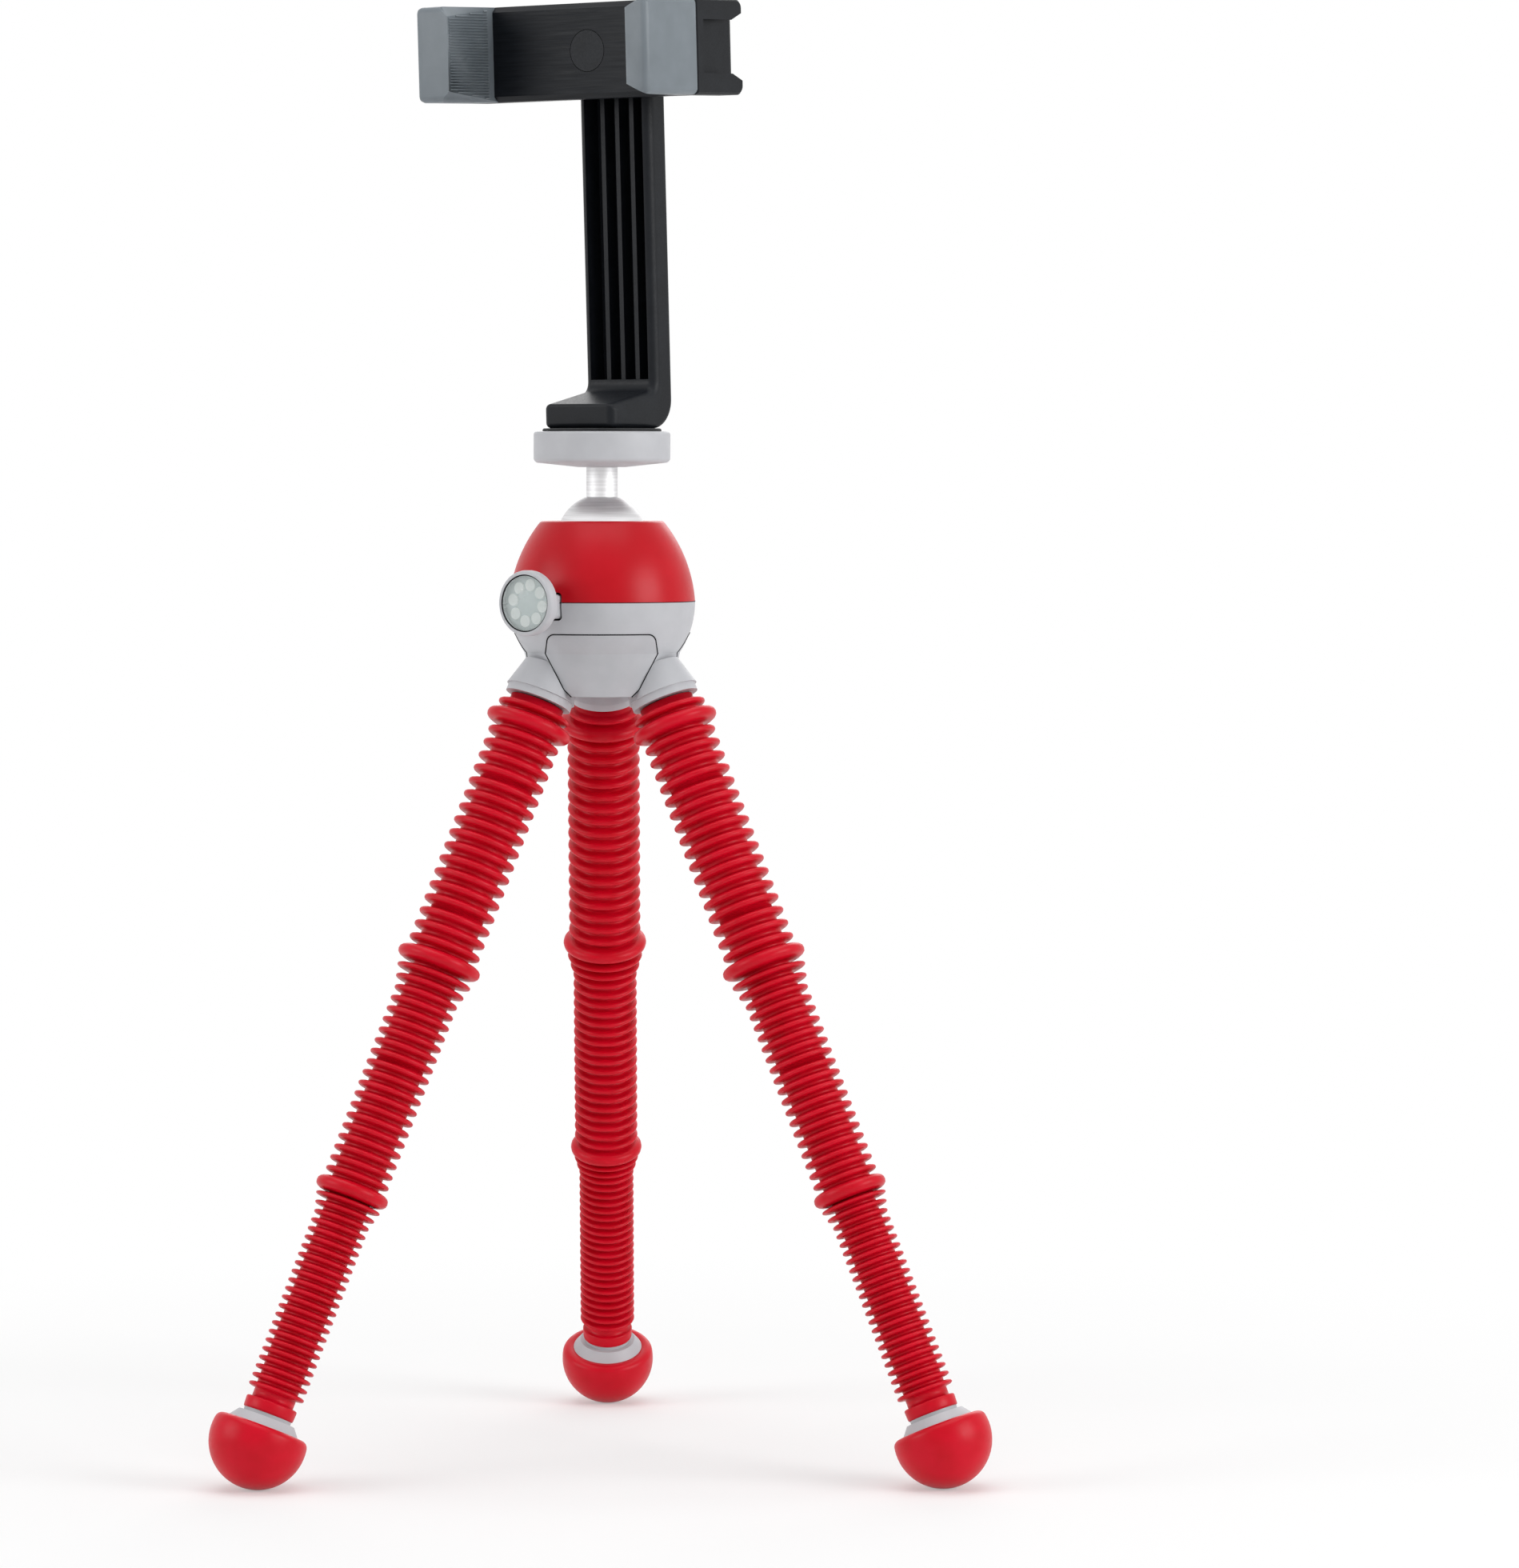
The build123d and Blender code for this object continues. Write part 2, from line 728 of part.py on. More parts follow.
def arm_plane():
    """The phone arm's foot: X across the clamp, Y to its back, Z up from the pad."""
    across = heading_vector(-arm_heading)
    return Plane((0, axis_y, pad_top), x_dir=across, z_dir=(0, 0, 1))


def lean_plane():
    """The leaning column and clamp: the arm's plane tipped forward."""
    return Plane(arm_plane().location * Rot(arm_lean, 0, 0))


def pad_line(y):
    """Height of the platform's pad in the lean plane, where it slopes."""
    return -y * tan(radians(arm_lean))


def arm_side():
    """The arm's outline from the side: a column, a bend and a foot whose top slopes."""
    back = arm_setback + arm_depth
    rise = arm_foot_height + (arm_foot_front + arm_setback) * tan(radians(arm_foot_rise))
    face = make_face(Polyline(
        (-arm_foot_front, pad_line(-arm_foot_front)), (back, pad_line(back)), (back, pivot_rise),
        (arm_setback, pivot_rise), (arm_setback, rise), (-arm_foot_front, arm_foot_height), close=True))
    for y, z, radius in (
            (back, pad_line(back), arm_bend), (arm_setback, rise, arm_hollow),
            (-arm_foot_front, arm_foot_height, arm_foot_edge)):
        face = fillet(face.vertices().sort_by_distance((y, z))[0], radius)
    return face


def arm_column():
    """The column and foot, with a channel open to the clamp, thin ribs in it and a boss for the pivot."""
    front = arm_setback
    back = arm_setback + arm_depth
    half = arm_width / 2
    arm = extrude(Plane.YZ * arm_side(), half, both=True)
    upright = arm.edges().filter_by(Axis.Z)
    arm = fillet(upright.group_by(Axis.Y)[0], arm_foot_corner)
    arm = fillet(arm.edges().filter_by(Axis.Z).group_by(Axis.Y)[-1], arm_corner)
    arm += Pos(0, back, pivot_rise) * Rot(90, 0, 0) * rod(half, 0, arm_depth)
    floor = arm_foot_height + (arm_foot_front + arm_setback) * tan(radians(arm_foot_rise)) + arm_hollow
    room = Pos(0, (front - overrun + back - arm_web) / 2, floor) * extrude(
        Rectangle(arm_width - 2 * arm_wall, arm_depth - arm_web + overrun), pivot_rise - floor)
    arm -= room
    pitch = (arm_width - 2 * arm_wall) / (arm_rib_count + 1)
    for i in range(arm_rib_count):
        x = (i - (arm_rib_count - 1) / 2) * pitch
        arm += block(
            (x - arm_rib / 2, front + arm_rib_setback, floor - arm_rib),
            (x + arm_rib / 2, back - arm_web / 2, pivot_rise))
    arm += Pos(0, back, pivot_rise) * Rot(90, 0, 0) * rod(boss_radius, 0, arm_depth)
    return arm - Pos(0, back + overrun, pivot_rise) * Rot(90, 0, 0) * rod(
        pivot_radius + seam_gap, arm_depth + overrun - pivot_reach, arm_depth + 2 * overrun)


def phone_arm():
    """The L-shaped arm: a foot on the platform and a ribbed column up to the clamp's pivot."""
    arm = placed(lean_plane(), arm_column())
    pocket = extrude(RegularPolygon(nut_radius + seam_gap, 6), nut_height + seam_gap)
    pocket += rod(camera_screw_radius + seam_gap, 0, camera_screw_reach + seam_gap)
    return arm - placed(arm_plane(), pocket)


def arm_nut():
    """The metal insert in the foot that the camera screw holds."""
    nut = extrude(RegularPolygon(nut_radius, 6), nut_height)
    return placed(arm_plane(), nut - rod(camera_screw_radius + fit_gap, -overrun, nut_height + overrun))


def clamp_plane():
    """The clamp: its pivot is the origin, X across the jaws, Y backward from its front face, Z up."""
    return Plane(lean_plane().location * Pos(0, arm_setback - clamp_front, pivot_rise))


def along_y(shape):
    """A shape built along Z, laid along Y."""
    return Rot(-90, 0, 0) * shape


def chamfered_bar(low_x, high_x, low_y, high_y, half, chamfer):
    """A bar along X with its four long edges taken off."""
    points = [
        (low_y, -half + chamfer), (low_y + chamfer, -half), (high_y - chamfer, -half),
        (high_y, -half + chamfer), (high_y, half - chamfer), (high_y - chamfer, half),
        (low_y + chamfer, half), (low_y, half - chamfer)]
    face = make_face(Polyline(*points, close=True))
    return Pos(low_x, 0, 0) * extrude(Plane.YZ * face, high_x - low_x)


def rail_room(grow):
    """The two slots that the sliding jaw's rails run in."""
    room = []
    for side in (-1, 1):
        z = side * (rail_inner + rail_outer) / 2
        half = (rail_outer - rail_inner) / 2 + grow
        room.append(block(
            (jaw_inner - rail_length - grow, rail_front - grow, z - half),
            (jaw_inner + overrun, rail_front + rail_depth + grow, z + half)))
    return room


def spring_bars(radius, grow):
    """The two springs' places, one outside each rail."""
    low = jaw_inner - rail_length - grow
    high = clamp_right + grow
    y = rail_front + rail_depth / 2
    return [
        Pos(low, y, side * spring_offset) * Rot(0, 90, 0) * rod(radius, 0, high - low)
        for side in (-1, 1)]


def clamp_frame():
    """The clamp's body with the fixed jaw's finger, the rails' slots and the springs' bores."""
    frame = chamfered_bar(
        -fixed_outer + pad_wall, clamp_right, 0, clamp_depth, clamp_half_height, clamp_chamfer)
    finger_half = clamp_half_height - pad_end_wall
    frame += block(
        (-fixed_outer + pad_wall, -jaw_reach + pad_wall, -finger_half),
        (-fixed_inner - pad_wall, clamp_depth / 2, finger_half))
    wrap = clamp_half_height + overrun
    frame -= block(
        (-fixed_outer, -overrun, finger_half), (-fixed_inner, pad_wrap + seam_gap, wrap))
    frame -= block(
        (-fixed_outer, -overrun, -wrap), (-fixed_inner, pad_wrap + seam_gap, -finger_half))
    frame -= block(
        (-fixed_inner - pad_wall, -overrun, -wrap), (-fixed_inner, pad_wrap + seam_gap, wrap))
    for slot in rail_room(seam_gap):
        frame -= slot
    for bore in spring_bars(spring_radius + pass_gap, pass_gap):
        frame -= bore
    frame -= along_y(rod(cap_radius + seam_gap, -overrun, cap_thickness + seam_gap))
    frame -= along_y(rod(pivot_head_radius + pass_gap, 0, cap_thickness + seam_gap + pivot_head + pass_gap))
    return frame - along_y(rod(pivot_radius + fit_gap, 0, clamp_depth + overrun))


def jaw_pad(outer, inner):
    """A jaw's rubber block, rounded everywhere but on its gripping side and its back."""
    low, high = min(outer, inner), max(outer, inner)
    pad = block((low, -jaw_reach, -clamp_half_height), (high, pad_wrap, clamp_half_height))
    round_edges = [
        edge for edge in pad.edges()
        if abs(edge.center().X - inner) > pad_corner / 2 and edge.center().Y < pad_wrap - pad_corner / 2]
    return fillet(round_edges, pad_corner)


def beveled(pad, outer, inner, bevel_reach):
    """A pad with the two corners of its gripping face cut off by sloping planes."""
    toward = 1 if outer > inner else -1
    for side in (-1, 1):
        top = side * clamp_half_height
        tip = Vector(inner, -jaw_reach, top - side * jaw_bevel)
        across = Vector(inner + toward * bevel_reach, -jaw_reach, top) - tip
        along = Vector(inner, pad_wrap, top) - tip
        normal = across.cross(along)
        if normal.Z * side < 0:
            normal = -normal
        pad = split(pad, bisect_by=Plane(tip, x_dir=across, z_dir=normal), keep=Keep.BOTTOM)
    return pad


def finger_room(low, high):
    """The pocket in a pad for its jaw's finger."""
    inner = clamp_half_height - pad_end_wall + seam_gap
    return block(
        (low + pad_wall - seam_gap, -jaw_reach + pad_wall - seam_gap, -inner),
        (high - pad_wall + seam_gap, pad_wrap + overrun, inner))


def fixed_jaw_pad():
    """The rubber pad over the fixed jaw, with fine ribs across its gripping face."""
    pad = jaw_pad(-fixed_outer, -fixed_inner)
    pitch = 2 * clamp_half_height / grip_count
    for i in range(grip_count):
        z = -clamp_half_height + pitch * (i + 1 / 2)
        half = grip_share * pitch / 2
        pad += block(
            (-fixed_inner - pad_wall / 2, -jaw_reach + grip_edge, z - half),
            (-fixed_inner + grip_height, -grip_band, z + half))
    pad = beveled(pad, -fixed_outer, -fixed_inner, fixed_bevel_reach)
    return pad - finger_room(-fixed_outer, -fixed_inner)


def jaw_outline():
    """The sliding jaw's plate from its end: rounded prongs round a throat that flares open."""
    half = clamp_half_height
    start = pad_wrap + seam_gap
    face = make_face(Polyline(
        (start, -half), (shoe_reach, -half), (shoe_reach, half), (start, half), close=True))
    return fillet(face.vertices().group_by(Axis.X)[-1], prong_corner)


def shoe_throat_cut():
    """The flared opening between the shoe's lips."""
    half = shoe_throat / 2
    flared = half + shoe_flare
    end = shoe_reach + overrun
    return make_face(Polyline(
        (shoe_start, -half), (shoe_reach - shoe_flare_length, -half), (shoe_reach, -flared), (end, -flared),
        (end, flared), (shoe_reach, flared), (shoe_reach - shoe_flare_length, half), (shoe_start, half),
        close=True))


def slide_jaw():
    """The sliding jaw: a plate with the jaw's finger in front, the shoe behind and two rails."""
    plate = Pos(jaw_inner, 0, 0) * extrude(Plane.YZ * jaw_outline(), jaw_outer - jaw_inner)
    plate = chamfer(plate.faces().sort_by(Axis.X)[-1].edges(), jaw_edge)
    floor = jaw_outer - shoe_lip - shoe_slot_depth
    plate -= Pos(jaw_outer - shoe_lip, 0, 0) * extrude(Plane.YZ * shoe_throat_cut(), shoe_lip + overrun)
    plate -= block(
        (floor, shoe_start, -shoe_slot / 2), (jaw_outer - shoe_lip, shoe_reach + overrun, shoe_slot / 2))
    edge = plate.edges().filter_by(Axis.Z).sort_by_distance((floor, shoe_reach, 0))[0]
    plate = fillet(edge, shoe_floor_corner)
    finger_half = clamp_half_height - pad_end_wall
    plate += block(
        (jaw_inner + pad_wall, -jaw_reach + pad_wall, -finger_half),
        (jaw_outer - pad_wall, pad_wrap + pad_wall, finger_half))
    for side in (-1, 1):
        z = side * (rail_inner + rail_outer) / 2
        rail_half = (rail_outer - rail_inner) / 2
        plate += block(
            (jaw_inner - rail_length, rail_front, z - rail_half),
            (jaw_inner + pad_wall, rail_front + rail_depth, z + rail_half))
    return plate


def moving_jaw_pad():
    """The rubber pad over the sliding jaw."""
    pad = jaw_pad(jaw_outer, jaw_inner)
    return beveled(pad, jaw_outer, jaw_inner, moving_bevel_reach) - finger_room(jaw_inner, jaw_outer)


def pivot_cap():
    """The flush round cap over the pivot screw."""
    return along_y(rod(cap_radius, 0, cap_thickness))


def pivot_screw():
    """The screw that holds the clamp to the arm and that the clamp turns on."""
    head = cap_thickness + seam_gap + fit_gap
    screw = rod(pivot_head_radius, head, head + pivot_head)
    return along_y(screw + rod(pivot_radius, head, clamp_front + pivot_reach))


def jaw_springs():
    """The two tension springs, drawn as the tubes that they fill."""
    return [
        outer - inner for outer, inner in
        zip(spring_bars(spring_radius, 0), spring_bars(spring_radius - spring_wire, overrun))]


def save(name, shape):
    """Write one node, whether it is one solid or several."""
    solids = shape if isinstance(shape, list) else [shape]
    solids = [solid for piece in solids for solid in piece.solids()]
    export_step(Compound(children=solids) if len(solids) > 1 else solids[0], f"parts/{name}.step")


def on_clamp(shape):
    """A piece of the clamp, or several, in the object's own place."""
    pieces = shape if isinstance(shape, list) else [shape]
    return [placed(clamp_plane(), piece) for piece in pieces]


def main():
    os.makedirs("parts", exist_ok=True)
    for piece in (
            dome_shell, hub_shell, leg_spider, gap_covers, leg_sockets, hub_screws, knob_collar,
            seat_block, seat_cup, ball_stem, platform_disc, platform_pad, camera_screw,
            lock_knob, knob_dial, knob_lens, lock_screw, wedge_block, phone_arm, arm_nut):
        save(piece.__name__, piece())
    for piece in (
            clamp_frame, fixed_jaw_pad, pivot_cap, pivot_screw, slide_jaw, moving_jaw_pad, jaw_springs):
        save(piece.__name__, on_clamp(piece()))
    leg_pieces = {f"link_{i}": link(i) for i in range(1, 5)}
    leg_pieces["foot_link"] = foot_link()
    leg_pieces["foot_ball"] = foot_ball()
    leg_pieces.update({f"sleeve_{i}": sleeve_length(i) for i in range(1, 6)})
    for name in leg_headings:
        for piece, shape in leg_pieces.items():
            save(f"{name}_{piece}", placed(leg_plane(name), shape))


main()
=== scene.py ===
import json
from math import atan2, cos, degrees, pi, radians, sin, sqrt

import bmesh
import bpy
from mathutils import Matrix, Vector


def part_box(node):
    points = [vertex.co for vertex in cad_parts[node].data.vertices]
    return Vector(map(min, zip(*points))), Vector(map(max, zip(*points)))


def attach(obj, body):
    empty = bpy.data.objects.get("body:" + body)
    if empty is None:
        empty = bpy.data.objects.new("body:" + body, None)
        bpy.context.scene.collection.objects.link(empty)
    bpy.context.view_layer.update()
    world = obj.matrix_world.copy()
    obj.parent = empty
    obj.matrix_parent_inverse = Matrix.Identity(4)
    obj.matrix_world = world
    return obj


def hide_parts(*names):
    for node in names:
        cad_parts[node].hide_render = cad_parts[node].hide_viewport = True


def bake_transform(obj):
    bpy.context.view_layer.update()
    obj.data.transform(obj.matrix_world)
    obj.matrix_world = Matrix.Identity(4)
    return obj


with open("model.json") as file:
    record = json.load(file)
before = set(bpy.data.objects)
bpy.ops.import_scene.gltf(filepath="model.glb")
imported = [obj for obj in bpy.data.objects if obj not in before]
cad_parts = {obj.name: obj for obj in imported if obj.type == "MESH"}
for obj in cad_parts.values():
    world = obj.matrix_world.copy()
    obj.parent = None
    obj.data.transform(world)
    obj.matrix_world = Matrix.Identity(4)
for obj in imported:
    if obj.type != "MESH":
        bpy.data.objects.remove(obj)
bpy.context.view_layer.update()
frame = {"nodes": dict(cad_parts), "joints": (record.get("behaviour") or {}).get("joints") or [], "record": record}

MM = 0.001
legs = ("left", "right", "rear")

# Camera, at the photograph's viewing angle
camera_place = (0.0208, -1.6654, 0.2561)
camera_yaw = 0.698          # degrees to the right of +Y
camera_pitch = 2.791        # degrees below level
camera_focal = 7907.4       # pixels of the photograph
photo_long_side = 1960
sensor_width = 36.0
camera_reach = 50.0         # the camera sees this far, in metres

# Ribbed sleeve, in millimetres from the nozzle's mouth down the leg
hip_station = 4.0
sleeve_start = 0.4
top_rib = (3.1, 9.6, 0.95)
bead_shares = (0.0338, 0.3582, 0.6685)
bead_radii = (11.3, 11.05, 9.6)
bead_half = 2.0
rib_counts = (17, 20, 23)
rib_radii = (9.55, 8.5, 7.4)
floor_radii = (7.1, 6.3, 5.5)
bead_gaps = (4.1, 3.8, 3.0)
rib_half_share = 0.29
taper_shares = (0.56, 0.28)
cuff_length = 3.1
cuff_radius = 6.75
leg_bodies = ("leg_1", "leg_2", "leg_3", "leg_4", "foot")
sleeve_inner_share = 0.84   # inner wall, as a share of the groove's radius
wall_steps = 16             # rings along a length's inner wall
narrow_from = 3             # the lengths from this one on, counted from 0, have the narrowest bore
sleeve_around = 56          # faces round a sleeve
rib_points = 11             # points of a rib's outline
rib_power = 2.4             # its fullness: 2 is an ellipse, and more is squarer
cuff_end_gap = 7.0          # from the cuff's lower edge to the foot ball's centre
cuff_edge = 0.45            # rounding of the cuff's edges
cuff_upper_share = 0.3      # points on that rounding, as shares of it
cuff_lower_share = 0.4
cuff_fall_share = 1.2
cuff_fall = 0.1             # the cuff is this much narrower where its lower rounding starts

# Foot, measured along the leg from the ball's centre
foot_radius = 12.5
foot_cut = 3.7
foot_rim = 1.9
foot_bore = 8.6             # the rubber reaches in this far under the grey collar
foot_around = 88
foot_rim_steps = 8
foot_ball_steps = 30
pole_angle = 0.2            # the ball's outline stops this many degrees from its pole on the leg's axis

# Rubber pads of the clamp, in its own frame: X across the jaws, Y to the back, Z up
fixed_pad = (-40.6, -30.1, 3.0)   # outer side, gripping side, reach of the bevels over the tip
moving_pad = (32.7, 26.3, 5.6)
pad_reach = 19.5
pad_wrap = 2.5
pad_half = 12.3
pad_bevel = 2.7
pad_corner = 1.7
pad_cut_edge = 0.35
grip_count = 34
grip_height = 0.45
grip_share = 0.56
grip_band = 2.6
grip_edge = 0.6
grip_sink = 0.05            # a rib starts this far inside the pad's face
grip_shortest = 1.0         # shorter ribs are left out
grip_faces = 5              # faces over a rib
pad_corner_faces = 6
pad_cut_faces = 2
round_profile = 0.5         # the profile that Blender's bevel takes as round
smooth_angle = 35           # faces that turn by more than this many degrees meet in a sharp edge

# Platform and its rubber disc, heights from the platform's lower edge
platform_radius = 17.7
platform_height = 8.1
platform_cone = 1.1
platform_boss = 6.0
platform_upper_edge = 0.8
platform_lower_edge = 1.3
platform_lower_start = 168  # degrees round the lower edge's rounding at which it leaves the cone
platform_lower_steps = 8
platform_around = 128
platform_sharp_angle = 40
disc_recess = 0.5           # the rubber disc's bed in the platform, and the room round the disc
disc_room = 0.3
disc_radius = 15.4
disc_thickness = 1.3
disc_edge = 0.5
disc_hole = 3.3
disc_grooves = (6.5, 9.0, 11.5)
groove_half = 0.35
groove_depth = 0.25
groove_taper = 3.0          # a groove's floor is this many times narrower than its mouth
disc_around = 96
edge_steps = 6              # steps round the upper edges of platform and disc
axis_radius = 0.02          # an outline that ends at its axis stops this far from it

# Knob's dial behind its lens
dial_radius = 7.2
dial_back = 1.7             # from the knob's face to the dial's plate
dial_thickness = 0.6
dot_count = 8
dot_radius = 1.6
dot_circle = 4.67
dot_height = 0.3
dot_start = 80.0
dial_edge = 0.1
dial_around = 72
dot_around = 28

# Dark lines of painted shade laid in the gaps round the hub's mouldings and round the knob's lens, as half their
# width
cover_shade_line = 0.16
seam_shade_line = 0.13
lens_shade_line = 0.17
lens_radius = 7.2
lens_sink = 0.3             # from the knob's face to the lens
shade_line_faces = 8
shade_line_around = 120
front_facing = 0.55         # how far a cover's front faces outwards, and its sides at most
side_facing = 0.45
weld = 0.01                 # points of the covers that lie closer than this are one

# Studio, in metres, with the lamps' powers in watts
floor_half = 6.0
floor_tone = 0.93
floor_fade = (0.14, 0.42)   # from the middle: the floor starts to fade here, and is plain white there
floor_glow = 0.35           # share of plain white in the middle of the floor
world_light = 0.3
lamp_aim = (0.0, 0.0, 0.18)
lamps = (
    ("key", (-1.45, -0.55, 0.68), (0.9, 0.7), 8),
    ("fill", (1.35, -0.8, 0.62), (0.9, 0.7), 13),
    ("top", (0.0, -0.1, 1.6), (1.4, 1.4), 13),
    ("back", (0.2, 1.5, 0.9), (1.2, 0.8), 6))


def srgb(red, green, blue):
    """A colour read as 0 to 255 screen values, as the linear values that a shader takes."""
    out = []
    for value in (red, green, blue):
        share = value / 255
        out.append(share / 12.92 if share <= 0.04045 else ((share + 0.055) / 1.055) ** 2.4)
    return (*out, 1.0)


class Surface:
    """A node material that is put together one layer at a time."""

    def __init__(self, name, rough=0.5, specular=0.5, metallic=0.0):
        self.material = bpy.data.materials.new(name)
        self.material.use_nodes = True
        self.tree = self.material.node_tree
        self.shader = self.tree.nodes["Principled BSDF"]
        self.shader.inputs["Roughness"].default_value = rough
        self.shader.inputs["Specular IOR Level"].default_value = specular
        self.shader.inputs["Metallic"].default_value = metallic
        self.coords = self.tree.nodes.new("ShaderNodeTexCoord")
        self.normal = None

    def node(self, kind, **values):
        """A new node, with its inputs and settings given by name."""
        made = self.tree.nodes.new(kind)
        for key, value in values.items():
            if key in made.inputs:
                made.inputs[key].default_value = value
            else:
                setattr(made, key, value)
        return made

    def link(self, source, target):
        self.tree.links.new(source, target)

    def noise(self, scale, detail=2.0, stretch=None):
        """Noise over the object's own place, in cycles per metre."""
        noise = self.node("ShaderNodeTexNoise", Scale=scale, Detail=detail)
        source = self.coords.outputs["Object"]
        if stretch:
            mapping = self.node("ShaderNodeMapping", Scale=stretch)
            self.link(source, mapping.inputs["Vector"])
            source = mapping.outputs["Vector"]
        self.link(source, noise.inputs["Vector"])
        return noise.outputs["Fac"]

    def ramp(self, source, low, high, start=0.35, end=0.65):
        """A value turned into a colour between two tones."""
        ramp = self.node("ShaderNodeValToRGB")
        ramp.color_ramp.elements[0].position = start
        ramp.color_ramp.elements[0].color = low
        ramp.color_ramp.elements[1].position = end
        ramp.color_ramp.elements[1].color = high
        self.link(source, ramp.inputs["Fac"])
        return ramp.outputs["Color"]

    def colour(self, low, high, scale, detail=3.0, stretch=None):
        """Colour that drifts between two tones."""
        tone = self.ramp(self.noise(scale, detail, stretch), low, high)
        self.link(tone, self.shader.inputs["Base Color"])

    def roughness(self, low, high, scale, detail=3.0, stretch=None):
        """Roughness that drifts between two values."""
        spread = self.node("ShaderNodeMapRange")
        spread.inputs["From Min"].default_value = 0.3
        spread.inputs["From Max"].default_value = 0.7
        spread.inputs["To Min"].default_value = low
        spread.inputs["To Max"].default_value = high
        self.link(self.noise(scale, detail, stretch), spread.inputs["Value"])
        self.link(spread.outputs["Result"], self.shader.inputs["Roughness"])

    def bump(self, scale, depth, strength=0.5, detail=2.0, stretch=None):
        """A layer of relief, its depth in metres, over the layers before it."""
        bump = self.node("ShaderNodeBump", Strength=strength, Distance=depth)
        self.link(self.noise(scale, detail, stretch), bump.inputs["Height"])
        if self.normal is not None:
            self.link(self.normal, bump.inputs["Normal"])
        self.normal = bump.outputs["Normal"]
        self.link(self.normal, self.shader.inputs["Normal"])


def red_rubber():
    """Matt moulded rubber of the sleeves and feet, with a fine grain and a little bloom."""
    look = Surface("red_rubber", specular=0.19)
    look.colour(srgb(196, 3, 28), srgb(205, 6, 35), scale=160, detail=3.0)
    look.roughness(0.33, 0.42, scale=900)
    look.bump(scale=3800, depth=0.00003, strength=0.3, detail=3.0)
    look.bump(scale=420, depth=0.00006, strength=0.1, detail=2.0)
    return look.material


def red_shell():
    """Satin red moulding of the hub's upper half."""
    look = Surface("red_shell", specular=0.2)
    look.colour(srgb(184, 8, 24), srgb(190, 12, 29), scale=90, detail=3.0)
    look.roughness(0.32, 0.38, scale=1500)
    look.bump(scale=5200, depth=0.00002, strength=0.3, detail=2.0)
    look.bump(scale=160, depth=0.0001, strength=0.06, detail=1.0)
    return look.material


def grey_plastic(name, tone):
    """Pale grey moulding with a fine spark-eroded grain."""
    look = Surface(name, specular=0.4)
    low = srgb(tone - 3, tone - 2, tone + 2)
    high = srgb(tone + 3, tone + 4, tone + 8)
    look.colour(low, high, scale=140, detail=4.0)
    look.roughness(0.42, 0.52, scale=1200)
    look.bump(scale=4600, depth=0.00002, strength=0.35, detail=3.0)
    return look.material


def black_plastic():
    """Black moulding with a fine matt texture."""
    look = Surface("black_plastic", specular=0.2)
    look.colour(srgb(12, 15, 20), srgb(18, 21, 26), scale=200, detail=4.0)
    look.roughness(0.4, 0.52, scale=2200)
    look.bump(scale=5200, depth=0.00004, strength=0.45, detail=3.0)
    return look.material


def brushed_black():
    """The clamp's black front, with fine level lines across it."""
    look = Surface("brushed_black", specular=0.16)
    look.colour(srgb(10, 13, 18), srgb(18, 21, 26), scale=2600, detail=2.0, stretch=(0.03, 0.03, 1))
    look.roughness(0.36, 0.52, scale=1800, detail=3.0, stretch=(0.05, 0.05, 1))
    look.bump(scale=4200, depth=0.00003, strength=0.5, detail=2.0, stretch=(0.02, 0.02, 1))
    return look.material


def black_rubber():
    look = Surface("black_rubber", specular=0.3)
    look.colour(srgb(22, 23, 25), srgb(30, 31, 33), scale=300, detail=4.0)
    look.roughness(0.6, 0.75, scale=1500)
    look.bump(scale=3500, depth=0.00005, strength=0.5, detail=3.0)
    return look.material


def grey_rubber(name, low, high):
    """Translucent-looking grey rubber of the jaw pads."""
    look = Surface(name, specular=0.4)
    look.colour(low, high, scale=120, detail=2.0)
    look.roughness(0.38, 0.48, scale=1400)
    look.bump(scale=3800, depth=0.00003, strength=0.3, detail=3.0)
    look.bump(scale=900, depth=0.00008, strength=0.22, detail=3.0)
    look.shader.inputs["Subsurface Weight"].default_value = 0.15
    look.shader.inputs["Subsurface Radius"].default_value = (0.002, 0.002, 0.002)
    look.shader.inputs["Subsurface Scale"].default_value = 1.0
    return look.material


def turned_metal(name, tone, rough):
    """Metal with fine turning lines round its axis, which smear its reflections up and down."""
    look = Surface(name, rough=rough, metallic=1.0)
    low = srgb(tone - 9, tone - 9, tone - 8)
    high = srgb(tone + 6, tone + 6, tone + 7)
    look.colour(low, high, scale=2200, detail=2.0, stretch=(0.04, 0.04, 1))
    look.bump(scale=3200, depth=0.00002, strength=0.3, detail=2.0, stretch=(0.02, 0.02, 1))
    look.shader.inputs["Anisotropic"].default_value = 0.35
    tangent = look.node("ShaderNodeTangent", direction_type="RADIAL", axis="Z")
    look.link(tangent.outputs["Tangent"], look.shader.inputs["Tangent"])
    return look.material


def core_plastic():
    look = Surface("core_plastic", specular=0.4)
    look.colour(srgb(58, 60, 64), srgb(66, 68, 72), scale=300, detail=3.0)
    look.roughness(0.4, 0.55, scale=900)
    look.bump(scale=3000, depth=0.00003, strength=0.4, detail=2.0)
    return look.material


def pale_plastic():
    look = Surface("pale_plastic", specular=0.4)
    look.colour(srgb(222, 227, 225), srgb(229, 233, 231), scale=400, detail=2.0)
    look.roughness(0.35, 0.5, scale=1200)
    look.bump(scale=3000, depth=0.00002, strength=0.3, detail=2.0)
    return look.material


